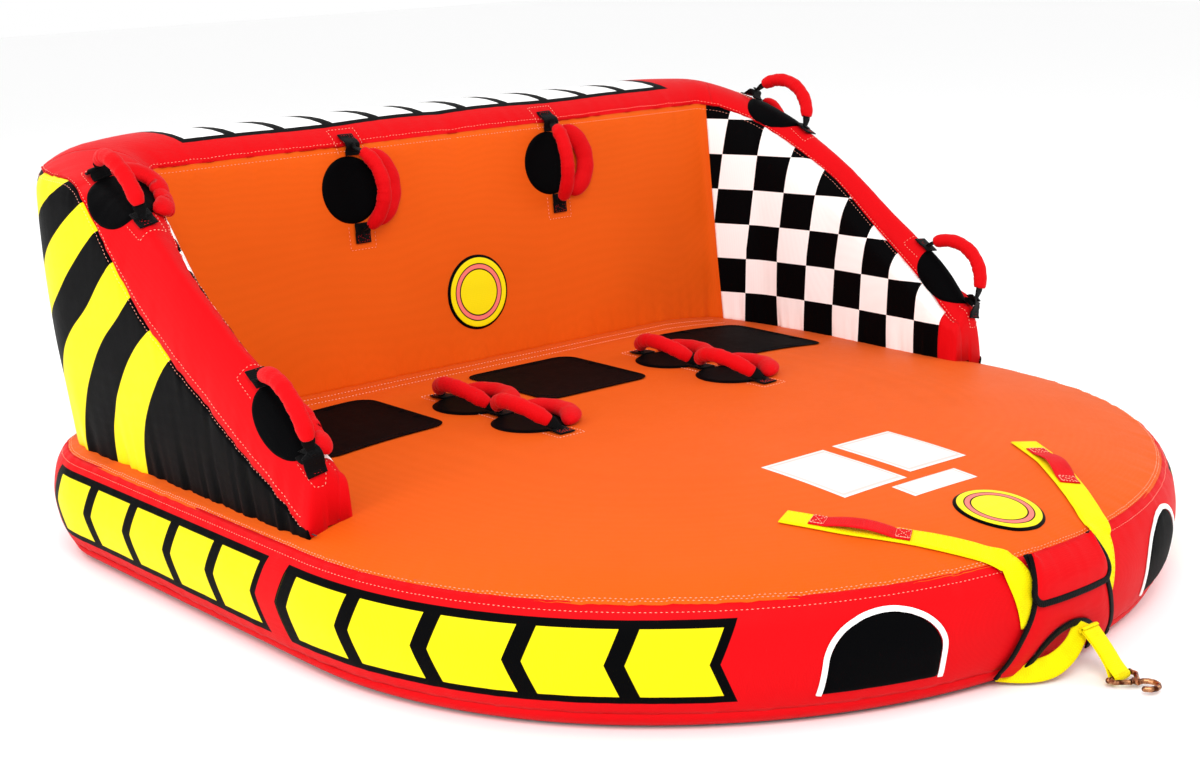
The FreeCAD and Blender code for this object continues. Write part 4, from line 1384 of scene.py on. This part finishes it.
# ---- nose ---------------------------------------------------------------------------
def strap_frame(points, count):
    """Lays a plan path on the deck: on its top, then down its side past the seam."""
    path = resample(points, count)
    spots = []
    facing = []
    for x, y, z in path:
        if z > seam_z:
            spot, normal = land(deck_tree, (x, y, 1.0), DOWN)
        else:
            spot, normal = land(deck_tree, (x, ahead, z), BACKWARDS)
        spots.append(spot)
        facing.append(normal)
    spots = np.array(spots)
    facing = np.array(facing)
    for _ in range(3):
        facing[1:-1] = unit(facing[:-2] + 2 * facing[1:-1] + facing[2:])
    across = unit(np.cross(unit(np.gradient(spots, axis=0)), facing))
    return spots, across, facing


def cross_box(spot, across, along, up, half_w, half_l):
    """Box with a cross in it, sewn through a strap."""
    corners = [(-1, -1), (1, -1), (1, 1), (-1, 1), (-1, -1), (1, 1), (1, -1), (-1, 1)]
    rows = [spot + across * a * half_w + along * b * half_l + up * 0.0006 for a, b in corners]
    return resample(rows, 90), np.tile(up, (90, 1))


def tow_strap(side):
    """Yellow strap: over the top of the nose and down its side, with a row of thread at each edge."""
    plan = [(0.300, -0.600), (0.256, -0.690), (0.202, -0.768), (0.160, -0.828), (0.122, -0.882)]
    front = [(0.114, 0.198), (0.100, 0.150), (0.090, 0.105)]
    path, _, up = strap_frame([(side * x, y, 0.3) for x, y in plan], 50)
    low, _, low_up = strap_frame([(side * x, 0, z) for x, z in front], 16)
    path = resample(np.vstack([path + up * 0.0026, low + low_up * 0.0034]), 70)
    up = np.vstack([up, low_up])
    pick = np.linspace(0, len(up) - 1, 70)
    up = unit(np.stack([np.interp(pick, np.arange(len(up)), up[:, k]) for k in range(3)], 1))
    for _ in range(4):
        path[1:-1] = 0.5 * path[1:-1] + 0.25 * (path[:-2] + path[2:])
    across = unit(np.cross(unit(np.gradient(path, axis=0)), up))
    for edge in (-0.020, 0.020):
        yellow_threads.append((path + across * edge + up * 0.0018, up))
    return band_mesh("tow", path, across, up, 0.050, 0.0034)


def grab_strap(side):
    """Red strap sewn on a tow strap at both ends, and lifted between them."""
    plan = [(side * 0.280, -0.640, 0.3), (side * 0.246, -0.706, 0.3), (side * 0.199, -0.773, 0.3)]
    path, across, up = strap_frame(plan, 40)
    share = np.linspace(0, 1, 40)
    rise = 0.0058 + 0.0075 * np.clip(np.sin(math.pi * np.clip((share - 0.16) / 0.68, 0, 1)), 0, 1)
    path = path + up * rise[:, None]
    along = unit(np.gradient(path, axis=0))
    for end in (3, 36):
        spot = path[end] + up[end] * 0.0014
        red_threads.append(cross_box(spot, across[end], along[end], up[end], 0.014, 0.011))
    return band_mesh("grab", path, across, up, 0.036, 0.0026)


def build_tow_straps():
    joined("tow_strap_webbing", [tow_strap(side) for side in (1, -1)], "yellow_web", "tow_straps")
    joined("grab_strap_webbing", [grab_strap(side) for side in (1, -1)], "red_web", "grab_straps")


def bound_edge(outline, lift, width=0.010, thickness=0.0034, count=90, smooth=2):
    """Binding tape along an outline seen from the front."""
    path = rounded(outline, count, smooth)
    points, normals = (rows[0] for rows in lay(deck_tree, front_place(path[None]), BACKWARDS, lift))
    across = unit(np.cross(unit(np.gradient(points, axis=0)), normals))
    return band_mesh("binding", points, across, normals, width, thickness)


def nose_sheet(name, node, inner, outer, lift, bulge, body, rows=14, columns=61):
    """Cloth between two outlines seen from the front, laid over the nose."""
    a = resample(inner, columns)
    b = resample(outer, columns)
    share = np.linspace(0, 1, rows)[:, None, None]
    flat = a[None] * (1 - share) + b[None] * share
    swell = np.sin(math.pi * share[..., 0]) * bulge
    points, _ = lay(deck_tree, front_place(flat), BACKWARDS, lift + swell * np.ones((1, columns)))
    centre_normal = np.cross(points[1, 30] - points[0, 30], points[0, 31] - points[0, 30])
    if centre_normal[1] < 0:
        points = points[:, ::-1]
    return sheet(name, points, "red", node, light_cover, body=body)


def arch(half, base, height, count=25):
    """Half an oval, standing on its flat side."""
    angle = np.linspace(0, math.pi, count)
    return [(half * math.cos(a), base + height * math.sin(a)) for a in angle]


def build_nose():
    """The bound panel round the arched mouth, and the flap sewn along its top edge."""
    mouth = arch(0.080, 0.018, 0.066)
    outline = [(0.140, 0.022), (0.112, 0.085), (0.086, 0.140), (0.078, 0.199), (-0.078, 0.199),
               (-0.086, 0.140), (-0.112, 0.085), (-0.140, 0.022)]
    nose_sheet("nose_panel_cover", "nose_panel", mouth, outline, 0.0062, 0.003, "tube")
    trims = [bound_edge(outline[:4], 0.0080), bound_edge(outline[4:], 0.0080),
             bound_edge(mouth, 0.0098, 0.012)]
    joined("nose_binding_tape", trims, "binding", "nose_panel_binding")
    low = 0.132
    rim = [(0.073, 0.197), (0.092, 0.155), (0.093, 0.146), (0.086, 0.136), (0.074, low),
           (-0.074, low), (-0.086, 0.136), (-0.093, 0.146), (-0.092, 0.155), (-0.073, 0.197)]
    top_edge = [(0.073, 0.197), (-0.073, 0.197)]
    flap = nose_sheet("nose_flap_cover", "nose_flap", top_edge, rim, 0.0118, 0.006, None, 20, 71)
    mesh = bound_edge(rim, 0.0126, 0.011, 0.0040, 110, 1)
    edge = new_object("nose_flap_binding", mesh, "binding", "nose_flap", None)
    for piece in (flap, edge):
        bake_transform(piece)


def build_scuff_patches():
    """Two D-shaped patches low on the nose, piped in white."""
    black = []
    white = []
    for side in (1, -1):
        shape = [(0.433, 0.052), (0.432, 0.078)]
        shape += [(0.345 + 0.087 * math.cos(a), 0.096 + 0.072 * math.sin(a))
                  for a in np.linspace(0.12, math.pi - 0.12, 23)]
        shape += [(0.259, 0.078), (0.258, 0.052)]
        rim = resample(shape + [shape[0]], 97)
        centre = np.array([0.347, 0.098])
        flat, height, maps = polar_grid(rim - centre, 16, pillow)
        flat = flat + centre
        flat[..., 0] *= side
        points, _ = lay(deck_tree, front_place(flat), BACKWARDS, 0.0006 + 0.0022 * height)
        if side > 0:
            points = points[:, ::-1]
        black.append(sheet_mesh("patch", points, maps))
        border = [(side * (centre[0] + (x - centre[0]) * 1.05), z + (0.004 if z > 0.09 else 0.0))
                  for x, z in shape]
        white.append(bound_edge(border, 0.0022, 0.009, 0.0028))
    joined("scuff_patch_cloth", black, "black", "scuff_patches")
    joined("scuff_patch_piping", white, "white", "scuff_patches")


def joint_place(name):
    return np.array([joint["pos_m"] for joint in frame["joints"] if joint["name"] == name][0])


def build_leash():
    """Short doubled webbing that hangs from the mouth and holds the hook's bar."""
    low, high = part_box("tow_leash")
    top = joint_place("tow_leash_swing")
    top[0] = 0.5 * (low.x + high.x)
    foot = joint_place("quick_connector_swing")
    down = unit(foot - top)
    out = np.cross(np.array([1.0, 0, 0]), down)
    out = out if out[1] < 0 else -out
    meshes = []
    share = np.linspace(0, 1, 26)
    for layer in (1, -1):
        gap = 0.0017 + 0.0045 * np.clip((share - 0.72) / 0.28, 0, 1) ** 1.5
        bow = 0.0035 * np.sin(math.pi * share)
        path = top + (foot - top) * share[:, None] + out * (layer * gap + bow)[:, None]
        wide = 0.040 - 0.003 * np.sin(math.pi * share)
        meshes.append(band_mesh("leash", path, np.tile((1.0, 0.0, 0.0), (26, 1)),
                                np.tile(out, (26, 1)), wide, 0.0030, 0.1))
    angle = np.linspace(math.radians(-100), math.radians(100), 21)
    for centre, away, radius in ((foot, down, 0.0062), (top, -down, 0.0046)):
        path = np.array([centre + away * radius * math.cos(a) + out * radius * math.sin(a) for a in angle])
        up = np.array([away * math.cos(a) + out * math.sin(a) for a in angle])
        meshes.append(band_mesh("turn", path, np.tile((1.0, 0, 0), (21, 1)), up, 0.040, 0.0030))
    joined("tow_leash_webbing", meshes, "yellow_web", "tow_leash", "tow_leash")


def build_bridle():
    """Webbing that comes out of the mouth, over the floor and up to the leash."""
    path = [(-0.120, -0.878, 0.020), (-0.092, -0.906, 0.019), (-0.056, -0.930, 0.022),
            (-0.024, -0.938, 0.036), (0.004, -0.938, 0.056), (0.022, -0.932, 0.080)]
    path = rounded(path, 48, 3)
    along = unit(np.gradient(path, axis=0))
    share = np.linspace(0, 1, 48)
    facing = unit(np.stack([-0.25 - 0.1 * share, np.full(48, -0.85), 0.45 + 0.10 * share], 1))
    across = unit(np.cross(along, facing))
    facing = unit(np.cross(across, along))
    wide = 0.030 + 0.006 * np.sin(math.pi * np.clip(share * 1.2, 0, 1))
    mesh = band_mesh("bridle", path, across, facing, wide, 0.0032, 0.1)
    new_object("tow_bridle_webbing", mesh, "yellow_web", "tow_bridle")


yellow_threads = []
red_threads = []
build_tow_straps()
build_nose()
build_scuff_patches()
build_leash()
build_bridle()


# ---- valves and zipper --------------------------------------------------------------
def open_round_hole(obj, centre, radius):
    """Cuts a round hole through a cover, seen from the rear."""
    work = bmesh.new()
    work.from_mesh(obj.data)
    inside = [v for v in work.verts if v.co.y > 0.5
              and math.hypot(v.co.x - centre[0], v.co.z - centre[1]) < radius]
    bmesh.ops.delete(work, geom=inside, context="VERTS")
    for v in work.verts:
        gap = math.hypot(v.co.x - centre[0], v.co.z - centre[1])
        if v.co.y > 0.5 and v.is_boundary and gap < radius * 1.6:
            v.co.x = centre[0] + (v.co.x - centre[0]) * radius / gap
            v.co.z = centre[1] + (v.co.z - centre[1]) * radius / gap
    work.to_mesh(obj.data)
    work.free()


def build_valve_flap(node):
    """Cloth flap over a valve, lifting slightly at its free corners, with a row of thread."""
    low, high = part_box(node)
    inset = 0.0012
    steps = 24
    s = np.linspace(-1, 1, steps + 1)
    across, level = np.meshgrid(s, s)
    x = 0.5 * (low.x + high.x) + across * 0.5 * (high.x - low.x)
    z = 0.5 * (low.z + high.z) + level * 0.5 * (high.z - low.z)
    share = (level + 1) / 2
    y = (low.y + inset) + ((high.y - inset) - (low.y + inset)) * share + inset
    y = y + 0.004 * (1 - share) * (0.4 + 0.6 * across ** 2) + 0.0008 * np.sin(across * 5 + level * 3)
    sheet(node + "_cloth", np.stack([x, y, z], -1), "red", node, light_cover, body=node, flip=True)
    rows = []
    for a, b in ((-0.93, 0.95), (-0.93, -0.93), (0.93, -0.93), (0.93, 0.95)):
        i = int(round((b + 1) * steps / 2))
        j = int(round((a + 1) * steps / 2))
        rows.append((x[i, j], y[i, j] + 0.0004, z[i, j]))
    mesh = stitch_meshes([(resample(rows, 80), np.tile((0, 1.0, 0), (80, 1)))])
    new_object(node + "_stitching", mesh, "thread", body=node)


def build_valves():
    """At each valve: a hole with a bound edge in the cover, the paint, and the cloth flap."""
    rear_panel = bpy.data.objects["backrest_rear_cover"]
    for word, panel, tree in (("deck", deck_side, deck_tree), ("backrest", rear_panel, bolster_tree)):
        low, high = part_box(word + "_valve")
        centre = 0.5 * (low + high)
        radius = 0.5 * (high.x - low.x) + 0.001
        open_round_hole(panel, (centre.x, centre.z), radius)
        rim = circle_rim(radius, radius, 49)
        start = np.stack([rim[:, 0] + centre.x, np.full(49, behind), rim[:, 1] + centre.z], -1)[None]
        ring, _ = lay(tree, start, FORWARDS, 0.0004)
        path = ring[0]
        side = unit(path - path[:-1].mean(axis=0))
        mesh = sheet_mesh("rim", tube_points(path, side, 0.0036, 12, 0.6))
        new_object(word + "_valve_hole_binding", mesh, "binding")
        repaint(word + "_valve", "plastic")
        repaint(word + "_valve_cap", "cap")
        build_valve_flap(word + "_valve_flap")


def build_zipper():
    """Tape low on the rear with a raised middle, and two rows of teeth."""
    low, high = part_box("zipper")
    middle = 0.5 * (low.z + high.z)
    half = 0.5 * (high.z - low.z)
    face = high.y - 0.0022
    x = np.linspace(low.x, high.x, 160)
    ends = np.clip(np.minimum(x - low.x, high.x - x) / 0.02, 0.0, 1) ** 0.5
    rows = []
    for level, push in ((1.0, 0.0), (0.92, 0.75), (0.60, 1.0), (0.2, 1.0), (-0.2, 1.0), (-0.60, 1.0),
                        (-0.92, 0.75), (-1.0, 0.0)):
        z = middle + level * half
        ground, _ = land(deck_tree, (0.013, behind, max(z, floor_seam_z + 0.002)), FORWARDS)
        y = ground[1] + (face - ground[1]) * push * ends - (0.003 if push == 0 else 0.0)
        rows.append(np.stack([x, y, np.full(len(x), z)], -1))
    sheet("zipper_tape", np.array(rows), "black", "zipper", 0.002, slot="zip_metal")
    along = np.stack([x[4:-4], np.full(len(x) - 8, face + 0.0008), np.full(len(x) - 8, middle)], -1)
    normal = np.tile((0, 1.0, 0), (len(along), 1))
    shifted = along + np.array([0.002, 0, 0.0016])
    mesh = stitch_meshes([(along - np.array([0, 0, 0.0016]), normal), (shifted, normal)],
                         0.0026, 0.0040, 0.0050, 0.0012)
    new_object("zipper_teeth", mesh, "zip", "zipper")
    repaint("zipper_slider", "zip")
    repaint("zipper_pull", "zip")


build_valves()
build_zipper()
repaint("quick_connector", "bronze")
frame["nodes"]["quick_connector"].data.shade_smooth()


# ---- stitching ----------------------------------------------------------------------
def build_stitching():
    """Rows of thread along the seams, and all those that the pieces left in lists."""
    top_normals = grid_normals(top_points)
    side_normals = grid_normals(side_points)
    rows = [(top_points[2], top_normals[2]), (top_points[3], top_normals[3]),
            (side_points[-3], side_normals[-3])]
    for offset in (0.040, 0.078):
        x = np.linspace(-back_half + 0.05, back_half - 0.05, 160)
        start = np.stack([x, np.full(160, back_y - offset), np.ones(160)], -1)[None]
        laid, normals = lay(deck_tree, start, DOWN, 0.0004)
        rows.append((laid[0], normals[0]))
    new_object("deck_seam_stitching", stitch_meshes(rows), "thread")
    normals = grid_normals(right_dressed) * bolster_sign
    rows = []
    for index in (inner_rows - 1, inner_rows + 2, band_end - 2, band_end + 1):
        for grid, facing in ((right_dressed, normals),
                             (mirror_grid(right_dressed), mirror_grid(normals))):
            rows.append((grid[index, tip_rows:], facing[index, tip_rows:]))
    new_object("bolster_seam_stitching", stitch_meshes(rows), "thread")
    new_object("patch_stitching", stitch_meshes(seam_threads), "thread")
    new_object("pad_stitching", stitch_meshes(pad_threads), "black_web", slot="black_cloth")
    new_object("handle_tab_stitching", stitch_meshes(dark_threads, 0.004, 0.006, 0.001), "red_web")
    new_object("strap_stitching", stitch_meshes(yellow_threads), "yellow_web")
    new_object("grab_strap_stitching", stitch_meshes(red_threads, 0.004, 0.0055), "thread")


build_stitching()

# ---- camera, lights, floor ----------------------------------------------------------
camera = bpy.data.objects.new("camera", bpy.data.cameras.new("camera"))
scene.collection.objects.link(camera)
view_right = Vector((0.7557, -0.6546, -0.0214))
view_up = Vector((0.1719, 0.1666, 0.9709))
view_back = view_right.cross(view_up).normalized()
view_up = view_back.cross(view_right)
turn = Matrix((view_right, view_up, view_back)).transposed().to_4x4()
camera.matrix_world = Matrix.Translation((-2.486, -2.720, 1.220)) @ turn
camera.data.lens = 61.2
camera.data.sensor_width = 36.0
camera.data.clip_end = 60.0
scene.camera = camera

floor_mesh = bpy.data.meshes.new("floor")
floor_mesh.from_pydata([(-14, -14, -0.001), (14, -14, -0.001), (14, 14, -0.001), (-14, 14, -0.001)],
                       [], [(0, 1, 2, 3)])
floor = bpy.data.objects.new("floor", floor_mesh)
scene.collection.objects.link(floor)
floor_paint, _, floor_shader, _ = new_tree("pale_floor")
floor_shader.inputs["Base Color"].default_value = (0.96, 0.96, 0.96, 1)
floor_shader.inputs["Roughness"].default_value = 0.8
floor_mesh.materials.append(floor_paint)


def soft_light(name, spot, target, size, power):
    lamp = bpy.data.lights.new(name, "AREA")
    lamp.shape = "DISK"
    lamp.size = size
    lamp.energy = power
    obj = bpy.data.objects.new(name, lamp)
    scene.collection.objects.link(obj)
    obj.location = spot
    obj.rotation_mode = "QUATERNION"
    obj.rotation_quaternion = (Vector(target) - Vector(spot)).to_track_quat("-Z", "Y")


soft_light("key_light", (-2.2, -3.0, 3.4), (0, 0, 0.2), 2.4, 110)
soft_light("fill_light", (3.4, -2.2, 2.6), (0, 0, 0.3), 3.0, 45)
soft_light("back_light", (-1.5, 3.8, 3.2), (0, 0, 0.3), 3.0, 60)
soft_light("side_light", (-4.2, -0.4, 1.5), (0.7, 0.3, 0.4), 1.6, 45)
world = bpy.data.worlds.new("studio")
scene.world = world
world.use_nodes = True
world.node_tree.nodes["Background"].inputs[0].default_value = (1, 1, 1, 1)
world.node_tree.nodes["Background"].inputs[1].default_value = 1.0
scene.view_settings.view_transform = "Standard"
